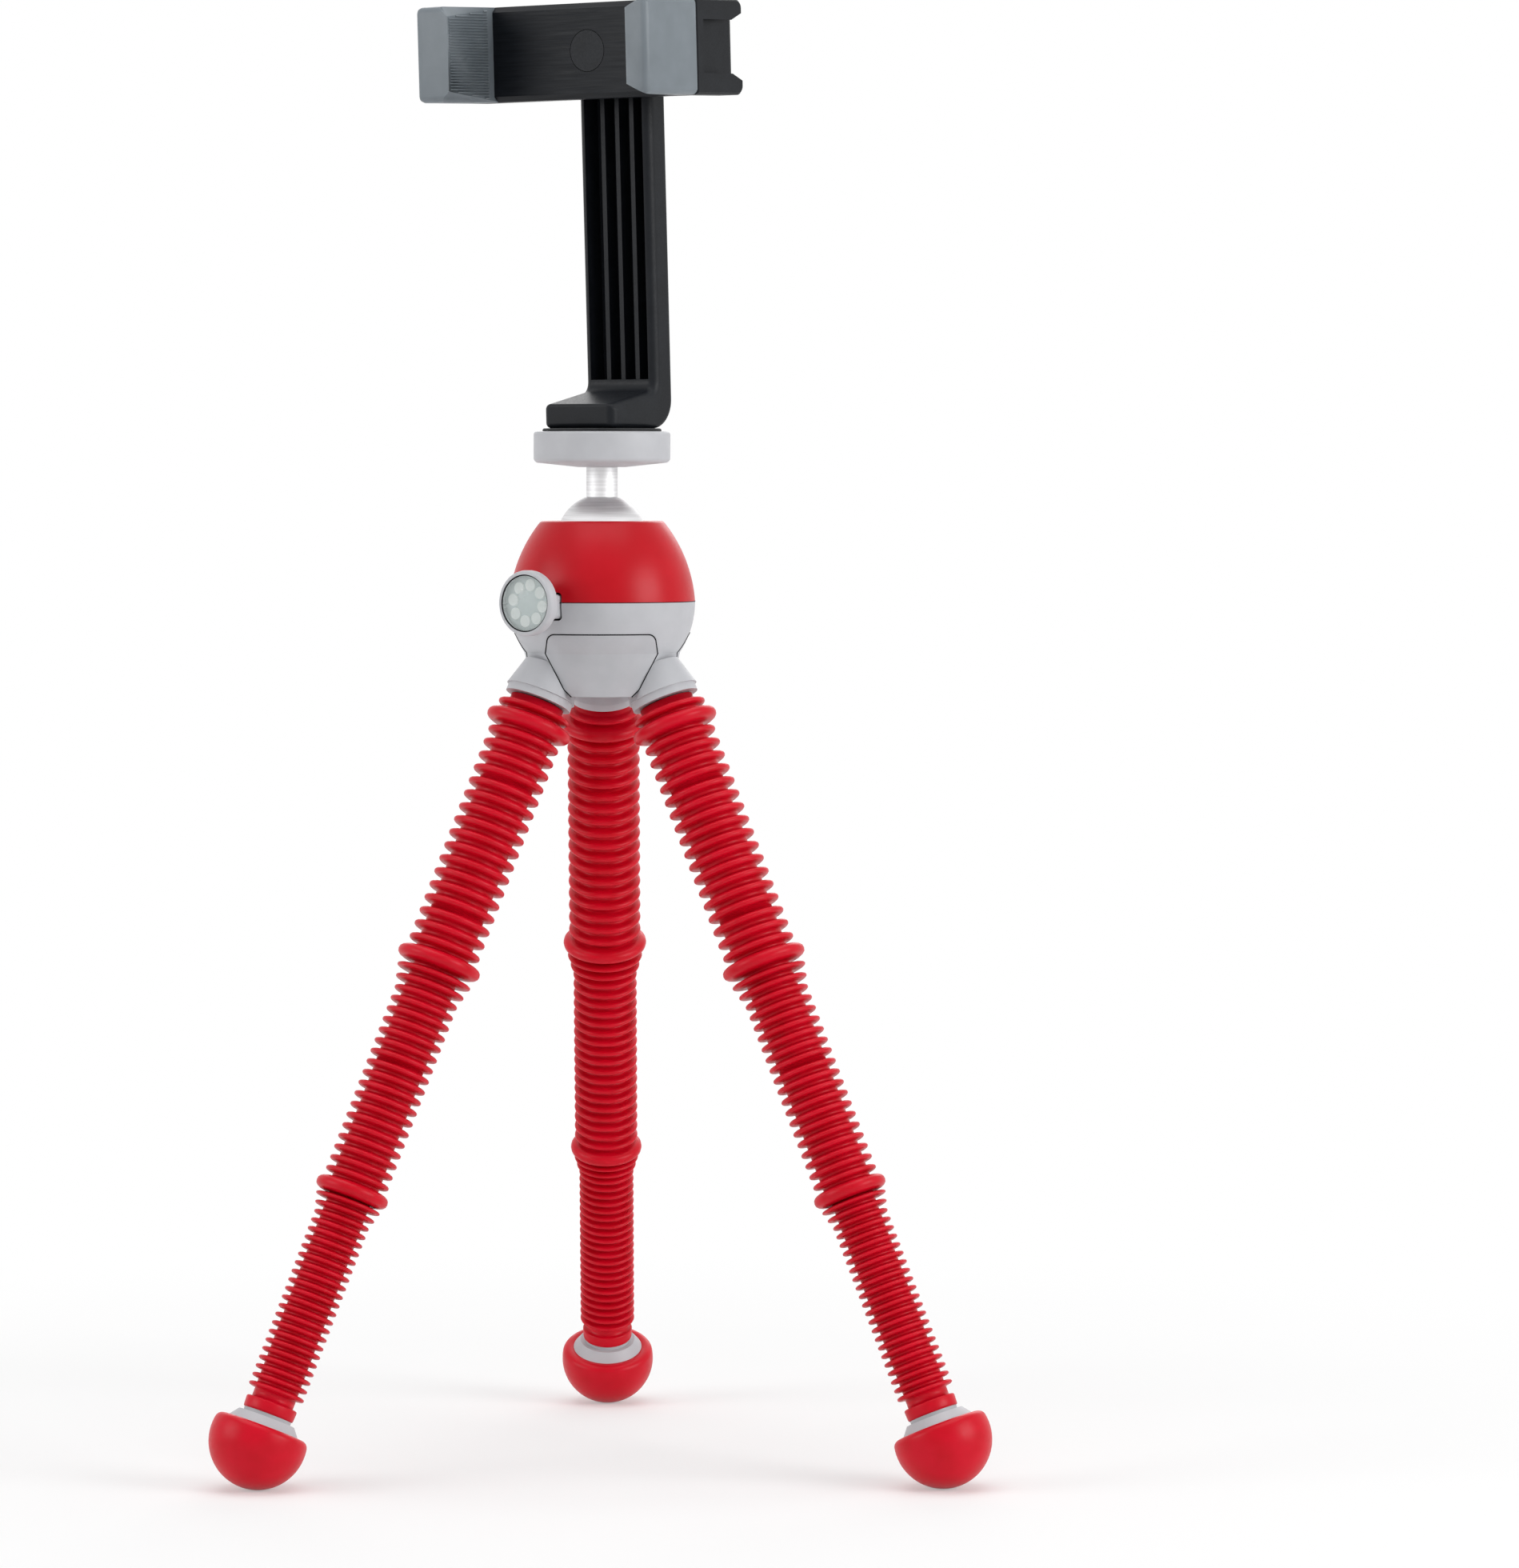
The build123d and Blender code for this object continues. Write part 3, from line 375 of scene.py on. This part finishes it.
def painted_gap_shade():
    """Painted shade: a near-black finish for the lines laid where the gaps between the mouldings fall into shade.
    """
    look = Surface("painted_gap_shade", specular=0.1)
    look.colour(srgb(24, 24, 26), srgb(32, 32, 34), scale=300, detail=2.0)
    look.roughness(0.7, 0.85, scale=900)
    look.bump(scale=3000, depth=0.00002, strength=0.2, detail=2.0)
    return look.material


def dial_plate():
    """The pale green-grey plate behind the lens."""
    look = Surface("dial_plate", specular=0.4)
    look.colour(srgb(184, 195, 195), srgb(192, 202, 202), scale=400, detail=2.0)
    look.roughness(0.35, 0.5, scale=1200)
    look.bump(scale=3000, depth=0.00002, strength=0.3, detail=2.0)
    return look.material


def clear_lens():
    """The clear plastic disc in the knob."""
    look = Surface("clear_lens")
    look.colour(srgb(222, 232, 231), srgb(230, 238, 237), scale=200, detail=2.0)
    look.roughness(0.05, 0.12, scale=800)
    look.bump(scale=220, depth=0.00003, strength=0.15, detail=2.0)
    look.shader.inputs["Alpha"].default_value = 0.3
    return look.material


finishes = {
    "red_shell": red_shell(),
    "grey_plastic": grey_plastic("grey_plastic", 184),
    "grey_cover": grey_plastic("grey_cover", 180),
    "core_plastic": core_plastic(),
    "black_plastic": black_plastic(),
    "black_rubber": black_rubber(),
    "red_rubber": red_rubber(),
    "grey_rubber": grey_rubber("grey_rubber", srgb(110, 118, 124), srgb(117, 125, 131)),
    "pale_plastic": pale_plastic(),
    "clear_lens": clear_lens(),
    "ball_metal": turned_metal("ball_metal", 218, 0.5),
    "insert_brass": turned_metal("insert_brass", 170, 0.35),
    "steel": turned_metal("steel", 200, 0.3),
    "brushed_black": brushed_black(),
    "dial_plate": dial_plate(),
    # the near-black finish of the lines of painted shade in the hub's gaps
    "painted_gap_shade": painted_gap_shade(),
}
node_finishes = {"clamp_frame": "brushed_black"}


def dress_nodes():
    """Give every CAD node the finish of its material slot."""
    slots = {part["node"]: part["material_slot"] for part in frame["record"]["subparts"]}
    for name, obj in frame["nodes"].items():
        for slot in obj.material_slots:
            slot.material = finishes[node_finishes.get(name, slots[name])]


def joint(name):
    return next(j for j in frame["joints"] if j["name"] == name)


def joint_place(name):
    return Vector(joint(name)["pos_m"])


def leg_frame(leg):
    """The point at a leg's nozzle and the direction down the leg, from its joints."""
    hip = joint_place(f"{leg}_hip")
    low = joint_place(f"{leg}_bend_5")
    down = (low - hip).normalized()
    return hip - down * hip_station * MM, down


def leg_length():
    """Nozzle to foot-ball centre, in millimetres, from the foot's box."""
    mouth, down = leg_frame("rear")
    low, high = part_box("rear_foot_ball")
    radius = (high[0] - low[0]) / 2
    centre_height = low[2] + radius
    return (mouth.z - centre_height) / -down.z / MM


def new_object(name, mesh, finish):
    obj = bpy.data.objects.new(name, mesh)
    bpy.context.scene.collection.objects.link(obj)
    mesh.materials.append(finishes[finish])
    return obj


def turned_mesh(name, outline, origin, axis, steps, caps=True):
    """A mesh turned about an axis from (along, radius) points in millimetres."""
    axis = Vector(axis).normalized()
    side = axis.orthogonal().normalized()
    other = axis.cross(side)
    mesh = bpy.data.meshes.new(name)
    points, faces = [], []
    for along, radius in outline:
        for i in range(steps):
            turn = 2 * pi * i / steps
            points.append(
                Vector(origin) + axis * along * MM + (side * cos(turn) + other * sin(turn)) * radius * MM)
    for ring in range(len(outline) - 1):
        for i in range(steps):
            a = ring * steps + i
            b = ring * steps + (i + 1) % steps
            faces.append((a, b, b + steps, a + steps))
    if caps:
        faces.append(tuple(reversed(range(steps))))
        last = (len(outline) - 1) * steps
        faces.append(tuple(range(last, last + steps)))
    mesh.from_pydata([tuple(p) for p in points], [], faces)
    mesh.polygons.foreach_set("use_smooth", [True] * len(mesh.polygons))
    mesh.update()
    return mesh


def bead_stations(length):
    return [share * length for share in bead_shares]


def rib_layout(length, cuff_start):
    """Every rib of the sleeve as (station, radius, half width, groove before, groove after)."""
    ribs = [(*top_rib, floor_radii[0], floor_radii[0])]
    shade_lines = bead_stations(length)
    ends = shade_lines + [cuff_start]
    for section, bead in enumerate(shade_lines):
        floor = floor_radii[section]
        ribs.append((bead, bead_radii[section], bead_half, floor_radii[max(section - 1, 0)], floor))
        first = bead + bead_gaps[section]
        last = ends[section + 1] - bead_gaps[section]
        pitch = (last - first) / (rib_counts[section] - 1)
        for i in range(rib_counts[section]):
            swell = taper_shares[i] if section and i < len(taper_shares) else 0
            radius = rib_radii[section] + swell * (bead_radii[section] - rib_radii[section])
            ribs.append((first + pitch * i, radius, rib_half_share * pitch, floor, floor))
    return ribs


def rib_outline(rib):
    """One rounded rib, from groove to groove."""
    station, radius, half, before, after = rib
    outline = []
    for i in range(rib_points):
        turn = pi * (i / (rib_points - 1) - 0.5)
        sway = abs(sin(turn)) ** (2 / rib_power) * (1 if turn > 0 else -1)
        rise = max(cos(turn), 0) ** (2 / rib_power)
        floor = before if turn < 0 else after
        outline.append((station + half * sway, floor + (radius - floor) * rise))
    return outline


def cuff_outline(start, end):
    """The plain cuff at the sleeve's lower end, with rounded edges."""
    upper = cuff_edge * cuff_upper_share
    lower = cuff_edge * cuff_lower_share
    return [
        (start, floor_radii[2]), (start, cuff_radius - cuff_edge), (start + upper, cuff_radius - upper),
        (start + cuff_edge, cuff_radius), (end - cuff_edge * cuff_fall_share, cuff_radius - cuff_fall),
        (end - lower, cuff_radius - lower), (end, cuff_radius - cuff_edge)]


def joint_stations(leg):
    """Where a leg's joints lie, in millimetres from its nozzle's mouth."""
    mouth = leg_frame(leg)[0]
    bends = [joint_place(f"{leg}_bend_{i}") for i in range(2, len(leg_bodies) + 1)]
    return [hip_station] + [(bend - mouth).length / MM for bend in bends]


def sleeve_cuts(joints, ribs, cuff_end):
    """Where a sleeve is parted into lengths: at the groove nearest to the middle between two joints."""
    grooves = [(a[0] + b[0]) / 2 for a, b in zip(ribs, ribs[1:])]
    cuts = [sleeve_start]
    for upper, lower in zip(joints, joints[1:]):
        middle = (upper + lower) / 2
        cuts.append(min(grooves, key=lambda groove: abs(groove - middle)))
    return cuts + [cuff_end]


def sleeve_pieces(leg, length):
    """The ribbed sleeve of one leg, in five lengths that each take in one joint."""
    mouth, down = leg_frame(leg)
    joints = joint_stations(leg)
    cuff_end = length - cuff_end_gap
    cuff_start = cuff_end - cuff_length
    ribs = rib_layout(length, cuff_start)
    cuts = sleeve_cuts(joints, ribs, cuff_end)
    for number, (start, end) in enumerate(zip(cuts, cuts[1:])):
        inside = [rib for rib in ribs if start < rib[0] < end]
        outline = [(start, inside[0][3])]
        for rib in inside:
            outline += rib_outline(rib)
        if end == cuff_end:
            outline += cuff_outline(cuff_start, cuff_end)
        else:
            outline.append((end, inside[-1][4]))
        bore = sleeve_inner_share * (floor_radii[2] if number >= narrow_from else floor_radii[1])
        outline += [(end + (start - end) * i / wall_steps, bore) for i in range(wall_steps + 1)]
        name = f"{leg}_ribbed_sleeve_{number + 1}"
        mesh = turned_mesh(name, outline, mouth, down, sleeve_around, caps=False)
        close_loop(mesh, len(outline), sleeve_around)
        piece = new_object(mesh.name, mesh, "red_rubber")
        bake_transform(piece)
        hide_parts(f"{leg}_sleeve_{number + 1}")


def close_loop(mesh, rings, steps):
    """Join a turned mesh's last ring back to its first, so that its section is a closed ring."""
    work = bmesh.new()
    work.from_mesh(mesh)
    work.verts.ensure_lookup_table()
    last = (rings - 1) * steps
    for i in range(steps):
        j = (i + 1) % steps
        face = work.faces.new((work.verts[last + i], work.verts[last + j], work.verts[j], work.verts[i]))
        face.smooth = True
    bmesh.ops.recalc_face_normals(work, faces=work.faces)
    work.to_mesh(mesh)
    work.free()


def arc(centre_along, centre_radius, radius, start, end, steps):
    """Points of an arc as (along, radius), its angles measured from the axis in degrees."""
    return [
        (centre_along + radius * cos(radians(start + (end - start) * i / steps)),
         centre_radius + radius * sin(radians(start + (end - start) * i / steps)))
        for i in range(steps + 1)]


def foot(leg, length):
    """A rubber foot: a ball cut flat under the grey collar, with a rounded rim."""
    mouth, down = leg_frame(leg)
    centre = mouth + down * length * MM
    rim_along = foot_rim - foot_cut
    rim_radius = sqrt((foot_radius - foot_rim) ** 2 - rim_along ** 2)
    turn = degrees(atan2(rim_radius, rim_along))
    outline = [(-foot_cut + foot_rim, foot_bore), (-foot_cut, foot_bore)]
    outline += arc(rim_along, rim_radius, foot_rim, 180, turn, foot_rim_steps)
    outline += arc(0, 0, foot_radius, turn, pole_angle, foot_ball_steps)[1:]
    mesh = turned_mesh(f"{leg}_rubber_foot", outline, centre, down, foot_around)
    piece = new_object(mesh.name, mesh, "red_rubber")
    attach(piece, f"{leg}_foot")
    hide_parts(f"{leg}_foot_ball")


def clamp_matrix():
    """The clamp's own frame, in millimetres: X across the jaws, Y to the back, Z up."""
    pivot = joint_place("clamp_turn")
    across = Vector(joint("jaw_slide")["axis"]).normalized()
    back = -Vector(joint("clamp_turn")["axis"]).normalized()
    up = across.cross(back)
    turn = Matrix((across, back, up)).transposed().to_4x4()
    return Matrix.Translation(pivot) @ turn @ Matrix.Scale(MM, 4)


def smooth_by_angle(work, angle):
    """Shade a mesh smooth, but for the edges where its faces turn by more than an angle in degrees."""
    bmesh.ops.recalc_face_normals(work, faces=work.faces)
    for face in work.faces:
        face.smooth = True
    for edge in work.edges:
        edge.smooth = len(edge.link_faces) != 2 or edge.calc_face_angle(0) <= radians(angle)


def finish_mesh(name, work):
    """A mesh made from the worked one, which is freed."""
    mesh = bpy.data.meshes.new(name)
    smooth_by_angle(work, smooth_angle)
    work.to_mesh(mesh)
    work.free()
    return mesh


def sharpen(mesh, angle):
    """Give a turned mesh the sharp corners that it needs."""
    work = bmesh.new()
    work.from_mesh(mesh)
    smooth_by_angle(work, angle)
    work.to_mesh(mesh)
    work.free()


def jaw_pad(name, outer, inner, bevel_reach, ribbed):
    """A jaw's rubber pad: rounded outside, beveled towards its tip, with fine ribs if it grips with them."""
    work = bmesh.new()
    corners = [
        (x, y, z) for x in (outer, inner) for y in (-pad_reach, pad_wrap) for z in (-pad_half, pad_half)]
    verts = [work.verts.new(corner) for corner in corners]
    for face in ((0, 1, 3, 2), (4, 6, 7, 5), (0, 4, 5, 1), (2, 3, 7, 6), (0, 2, 6, 4), (1, 5, 7, 3)):
        work.faces.new([verts[i] for i in face])
    rounded = []
    for edge in work.edges:
        middle = (edge.verts[0].co + edge.verts[1].co) / 2
        if abs(middle.x - inner) > pad_corner / 2 and middle.y < pad_wrap - pad_corner / 2:
            rounded.append(edge)
    bmesh.ops.bevel(
        work, geom=rounded, offset=pad_corner, offset_type="OFFSET", segments=pad_corner_faces,
        profile=round_profile, affect="EDGES", clamp_overlap=True)
    toward = 1 if outer > inner else -1
    for side in (-1, 1):
        tip = Vector((inner, -pad_reach, side * (pad_half - pad_bevel)))
        across = Vector((inner + toward * bevel_reach, -pad_reach, side * pad_half)) - tip
        along = Vector((inner, pad_wrap, side * pad_half)) - tip
        normal = across.cross(along).normalized()
        if normal.z * side < 0:
            normal = -normal
        bmesh.ops.bisect_plane(
            work, geom=work.verts[:] + work.edges[:] + work.faces[:], plane_co=tip, plane_no=normal,
            clear_outer=True)
        rim = [edge for edge in work.edges if edge.is_boundary]
        filled = bmesh.ops.holes_fill(work, edges=rim)["faces"]
        bmesh.ops.bevel(
            work, geom=[edge for face in filled for edge in face.edges], offset=pad_cut_edge,
            offset_type="OFFSET", segments=pad_cut_faces, profile=round_profile, affect="EDGES",
            clamp_overlap=True)
    if ribbed:
        add_grip(work, inner, -toward)
    mesh = finish_mesh(name, work)
    mesh.transform(clamp_matrix())
    return mesh


def add_grip(work, inner, outward):
    """Fine level ribs on a pad's gripping face, shorter where the bevels cut the face."""
    pitch = 2 * pad_half / grip_count
    half = grip_share * pitch / 2
    for i in range(grip_count):
        z = -pad_half + pitch * (i + 0.5)
        lost = max(abs(z) + half - (pad_half - pad_bevel), 0) / pad_bevel
        front = -pad_reach + grip_edge + lost * (pad_reach + pad_wrap)
        if front > -grip_band - grip_shortest:
            continue
        rings = []
        for y in (front, -grip_band):
            ring = []
            for j in range(grip_faces + 1):
                turn = pi * j / grip_faces
                x = inner + outward * grip_height * sin(turn) - outward * grip_sink
                ring.append(work.verts.new((x, y, z - half * cos(turn))))
            rings.append(ring)
        for j in range(grip_faces):
            work.faces.new((rings[0][j], rings[0][j + 1], rings[1][j + 1], rings[1][j]))
        work.faces.new(rings[0])
        work.faces.new(list(reversed(rings[1])))


def jaw_pads():
    for name, sizes, body, ribbed in (
            ("fixed_jaw_pad", fixed_pad, "clamp", True), ("moving_jaw_pad", moving_pad, "slider", False)):
        mesh = jaw_pad(f"{name}_rubber", *sizes, ribbed)
        piece = new_object(mesh.name, mesh, "grey_rubber")
        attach(piece, body)
        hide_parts(name)


def platform_body():
    """The round platform: softly rounded edges over a shallow cone."""
    low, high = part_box("platform_disc")
    middle = Vector(((low[0] + high[0]) / 2, (low[1] + high[1]) / 2, low[2] + platform_cone * MM))
    top = platform_height
    upper, lower = platform_upper_edge, platform_lower_edge
    outline = [(-platform_cone, axis_radius), (-platform_cone, platform_boss)]
    outline += arc(lower, platform_radius - lower, lower, platform_lower_start, 90, platform_lower_steps)
    outline += arc(top - upper, platform_radius - upper, upper, 90, 0, edge_steps)
    outline += [
        (top, disc_radius + disc_room), (top - disc_recess, disc_radius + disc_room / 2),
        (top - disc_recess, axis_radius)]
    mesh = turned_mesh("platform_body", outline, middle, (0, 0, 1), platform_around)
    sharpen(mesh, platform_sharp_angle)
    piece = new_object(mesh.name, mesh, "grey_plastic")
    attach(piece, "ball")
    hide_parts("platform_disc")


def platform_disc_rubber():
    """The platform's rubber disc, with a rounded edge and shallow rings."""
    low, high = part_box("platform_pad")
    middle = Vector(((low[0] + high[0]) / 2, (low[1] + high[1]) / 2, low[2]))
    top = disc_thickness
    outline = [(0, disc_hole), (0, disc_radius)]
    outline += arc(top - disc_edge, disc_radius - disc_edge, disc_edge, 90, 0, edge_steps)
    for ring in reversed(disc_grooves):
        outline += [
            (top, ring + groove_half), (top - groove_depth, ring + groove_half / groove_taper),
            (top - groove_depth, ring - groove_half / groove_taper), (top, ring - groove_half)]
    outline.append((top, disc_hole))
    mesh = turned_mesh("platform_rubber_disc", outline, middle, (0, 0, 1), disc_around, caps=False)
    close_loop(mesh, len(outline), disc_around)
    piece = new_object(mesh.name, mesh, "black_rubber")
    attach(piece, "ball")
    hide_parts("platform_pad")


def knob_dial():
    """The dial behind the knob's lens: a plate and a ring of round dots on it."""
    face = joint_place("knob_turn")
    out = Vector(joint("knob_turn")["axis"]).normalized()
    across = Vector((0, 0, 1)).cross(out).normalized()
    up = out.cross(across)
    plate_back = face - out * (dial_back + dial_thickness) * MM
    outline = [
        (0, axis_radius), (0, dial_radius), (dial_thickness - dial_edge, dial_radius),
        (dial_thickness, dial_radius - dial_edge), (dial_thickness, axis_radius)]
    mesh = turned_mesh("knob_dial_plate", outline, plate_back, out, dial_around)
    plate = new_object(mesh.name, mesh, "dial_plate")
    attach(plate, "knob")
    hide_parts("knob_dial")
    top = dial_thickness + dot_height
    work = bmesh.new()
    for i in range(dot_count):
        turn = radians(dot_start + 360 * i / dot_count)
        centre = plate_back + (across * cos(turn) + up * sin(turn)) * dot_circle * MM
        outline = [
            (dial_thickness / 2, dot_radius), (top - dial_edge, dot_radius), (top, dot_radius - dial_edge),
            (top, axis_radius)]
        dot = turned_mesh(f"dot_{i}", outline, centre, out, dot_around)
        work.from_mesh(dot)
        bpy.data.meshes.remove(dot)
    dots = new_object("knob_dial_dots", finish_mesh("knob_dial_dots", work), "pale_plastic")
    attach(dots, "knob")


def ring_shade_line(name, centre, axis, along, radius, half, body):
    """A thin dark ring about an axis: painted shade along a gap."""
    outline = [
        (along + half * cos(2 * pi * i / shade_line_faces), radius + half * sin(2 * pi * i / shade_line_faces))
        for i in range(shade_line_faces)]
    mesh = turned_mesh(name, outline, centre, axis, shade_line_around, caps=False)
    close_loop(mesh, shade_line_faces, shade_line_around)
    ring = new_object(name, mesh, "painted_gap_shade")
    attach(ring, body)


def front_edges(work):
    """The ends of the edges between the covers' fronts and their sides, above their feet."""
    axis = joint_place("ball_pan")
    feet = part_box("gap_covers")[0][2] + cover_shade_line * MM
    fronts = []
    for leg in legs:
        down = leg_frame(leg)[1]
        fronts.append(-Vector((down.x, down.y, 0)).normalized())
    for edge in work.edges:
        a, b = (vert.co for vert in edge.verts)
        front = max(fronts, key=((a + b) / 2 - axis).dot)
        facing = sorted(face.normal.dot(front) for face in edge.link_faces)
        if facing[0] < side_facing and facing[-1] > front_facing and max(a.z, b.z) > feet:
            yield a, b


def cover_shade_lines():
    """A dark line of painted shade in the gap round each of the hub's covers, laid edge by edge."""
    work = bmesh.new()
    work.from_mesh(frame["nodes"]["gap_covers"].data)
    bmesh.ops.remove_doubles(work, verts=work.verts, dist=weld * MM)
    shade_lines = bmesh.new()
    for a, b in front_edges(work):
        reach = (b - a).length / MM
        outline = [(-cover_shade_line / 2, cover_shade_line), (reach + cover_shade_line / 2, cover_shade_line)]
        rod = turned_mesh("rod", outline, a, b - a, shade_line_faces)
        shade_lines.from_mesh(rod)
        bpy.data.meshes.remove(rod)
    work.free()
    piece = new_object("cover_shade_lines", finish_mesh("cover_shade_lines", shade_lines), "painted_gap_shade")
    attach(piece, "hub")


def gap_shade_lines():
    """Dark lines of painted shade at the hub's seam, round its covers and round the knob's lens."""
    low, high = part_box("dome_shell")
    pan = joint_place("ball_pan")
    seam_radius = (high[0] - low[0]) / 2 / MM - seam_shade_line / 2
    ring_shade_line("seam_shade_line", (pan.x, pan.y, low[2]), (0, 0, 1), 0, seam_radius, seam_shade_line, "hub")
    out = Vector(joint("knob_turn")["axis"]).normalized()
    ring_shade_line("lens_shade_line", joint_place("knob_turn"), out, -lens_sink, lens_radius, lens_shade_line, "knob")
    cover_shade_lines()


def add_rays(tree, path):
    """1 for the rays that see the background: those of the camera, of reflections and through glass."""
    total = path.outputs["Is Camera Ray"]
    for kind in ("Is Glossy Ray", "Is Transmission Ray"):
        larger = tree.nodes.new("ShaderNodeMath")
        larger.operation = "MAXIMUM"
        tree.links.new(total, larger.inputs[0])
        tree.links.new(path.outputs[kind], larger.inputs[1])
        total = larger.outputs[0]
    return total


def make_floor():
    """A pale floor that keeps the object's shadow and fades to plain white away from it."""
    mesh = bpy.data.meshes.new("floor")
    corners = [(x * floor_half, y * floor_half, 0) for x, y in ((-1, -1), (1, -1), (1, 1), (-1, 1))]
    mesh.from_pydata(corners, [], [(0, 1, 2, 3)])
    floor = bpy.data.objects.new("floor", mesh)
    bpy.context.scene.collection.objects.link(floor)
    material = bpy.data.materials.new("floor")
    material.use_nodes = True
    tree = material.node_tree
    tree.nodes.clear()
    output = tree.nodes.new("ShaderNodeOutputMaterial")
    mix = tree.nodes.new("ShaderNodeMixShader")
    diffuse = tree.nodes.new("ShaderNodeBsdfDiffuse")
    diffuse.inputs["Color"].default_value = (floor_tone, floor_tone, floor_tone, 1)
    glow = tree.nodes.new("ShaderNodeEmission")
    glow.inputs["Color"].default_value = (1, 1, 1, 1)
    coords = tree.nodes.new("ShaderNodeTexCoord")
    length = tree.nodes.new("ShaderNodeVectorMath")
    length.operation = "LENGTH"
    fade = tree.nodes.new("ShaderNodeMapRange")
    fade.interpolation_type = "SMOOTHSTEP"
    fade.inputs["From Min"].default_value, fade.inputs["From Max"].default_value = floor_fade
    fade.inputs["To Min"].default_value = floor_glow
    path = tree.nodes.new("ShaderNodeLightPath")
    seen = add_rays(tree, path)
    both = tree.nodes.new("ShaderNodeMath")
    both.operation = "MULTIPLY"
    link = tree.links.new
    link(coords.outputs["Object"], length.inputs[0])
    link(length.outputs["Value"], fade.inputs["Value"])
    link(fade.outputs["Result"], both.inputs[0])
    link(seen, both.inputs[1])
    link(both.outputs[0], mix.inputs["Fac"])
    link(diffuse.outputs[0], mix.inputs[1])
    link(glow.outputs[0], mix.inputs[2])
    link(mix.outputs[0], output.inputs["Surface"])
    mesh.materials.append(material)


def make_world():
    """Even studio light from the world, and plain white where the camera sees it."""
    world = bpy.data.worlds.new("studio")
    bpy.context.scene.world = world
    world.use_nodes = True
    tree = world.node_tree
    tree.nodes.clear()
    output = tree.nodes.new("ShaderNodeOutputWorld")
    mix = tree.nodes.new("ShaderNodeMixShader")
    light = tree.nodes.new("ShaderNodeBackground")
    light.inputs["Color"].default_value = (1, 1, 1, 1)
    light.inputs["Strength"].default_value = world_light
    white = tree.nodes.new("ShaderNodeBackground")
    white.inputs["Color"].default_value = (1, 1, 1, 1)
    path = tree.nodes.new("ShaderNodeLightPath")
    seen = add_rays(tree, path)
    tree.links.new(seen, mix.inputs["Fac"])
    tree.links.new(light.outputs[0], mix.inputs[1])
    tree.links.new(white.outputs[0], mix.inputs[2])
    tree.links.new(mix.outputs[0], output.inputs["Surface"])


def area_lamp(name, place, size, power):
    """A rectangular lamp that points at the middle of the object."""
    data = bpy.data.lights.new(name, "AREA")
    data.shape = "RECTANGLE"
    data.size, data.size_y = size
    data.energy = power
    lamp = bpy.data.objects.new(name, data)
    lamp.location = place
    lamp.rotation_euler = (Vector(lamp_aim) - Vector(place)).to_track_quat("-Z", "Y").to_euler()
    bpy.context.scene.collection.objects.link(lamp)


def make_camera():
    data = bpy.data.cameras.new("camera")
    data.sensor_width = sensor_width
    data.lens = camera_focal * sensor_width / photo_long_side
    data.clip_end = camera_reach
    camera = bpy.data.objects.new("camera", data)
    camera.location = camera_place
    camera.rotation_euler = (radians(90 - camera_pitch), 0, radians(-camera_yaw))
    bpy.context.scene.collection.objects.link(camera)
    bpy.context.scene.camera = camera


dress_nodes()
length = leg_length()
for leg in legs:
    sleeve_pieces(leg, length)
    foot(leg, length)
jaw_pads()
platform_body()
platform_disc_rubber()
knob_dial()
gap_shade_lines()
make_floor()
make_world()
for lamp in lamps:
    area_lamp(*lamp)
make_camera()
bpy.context.scene.view_settings.view_transform = "Standard"
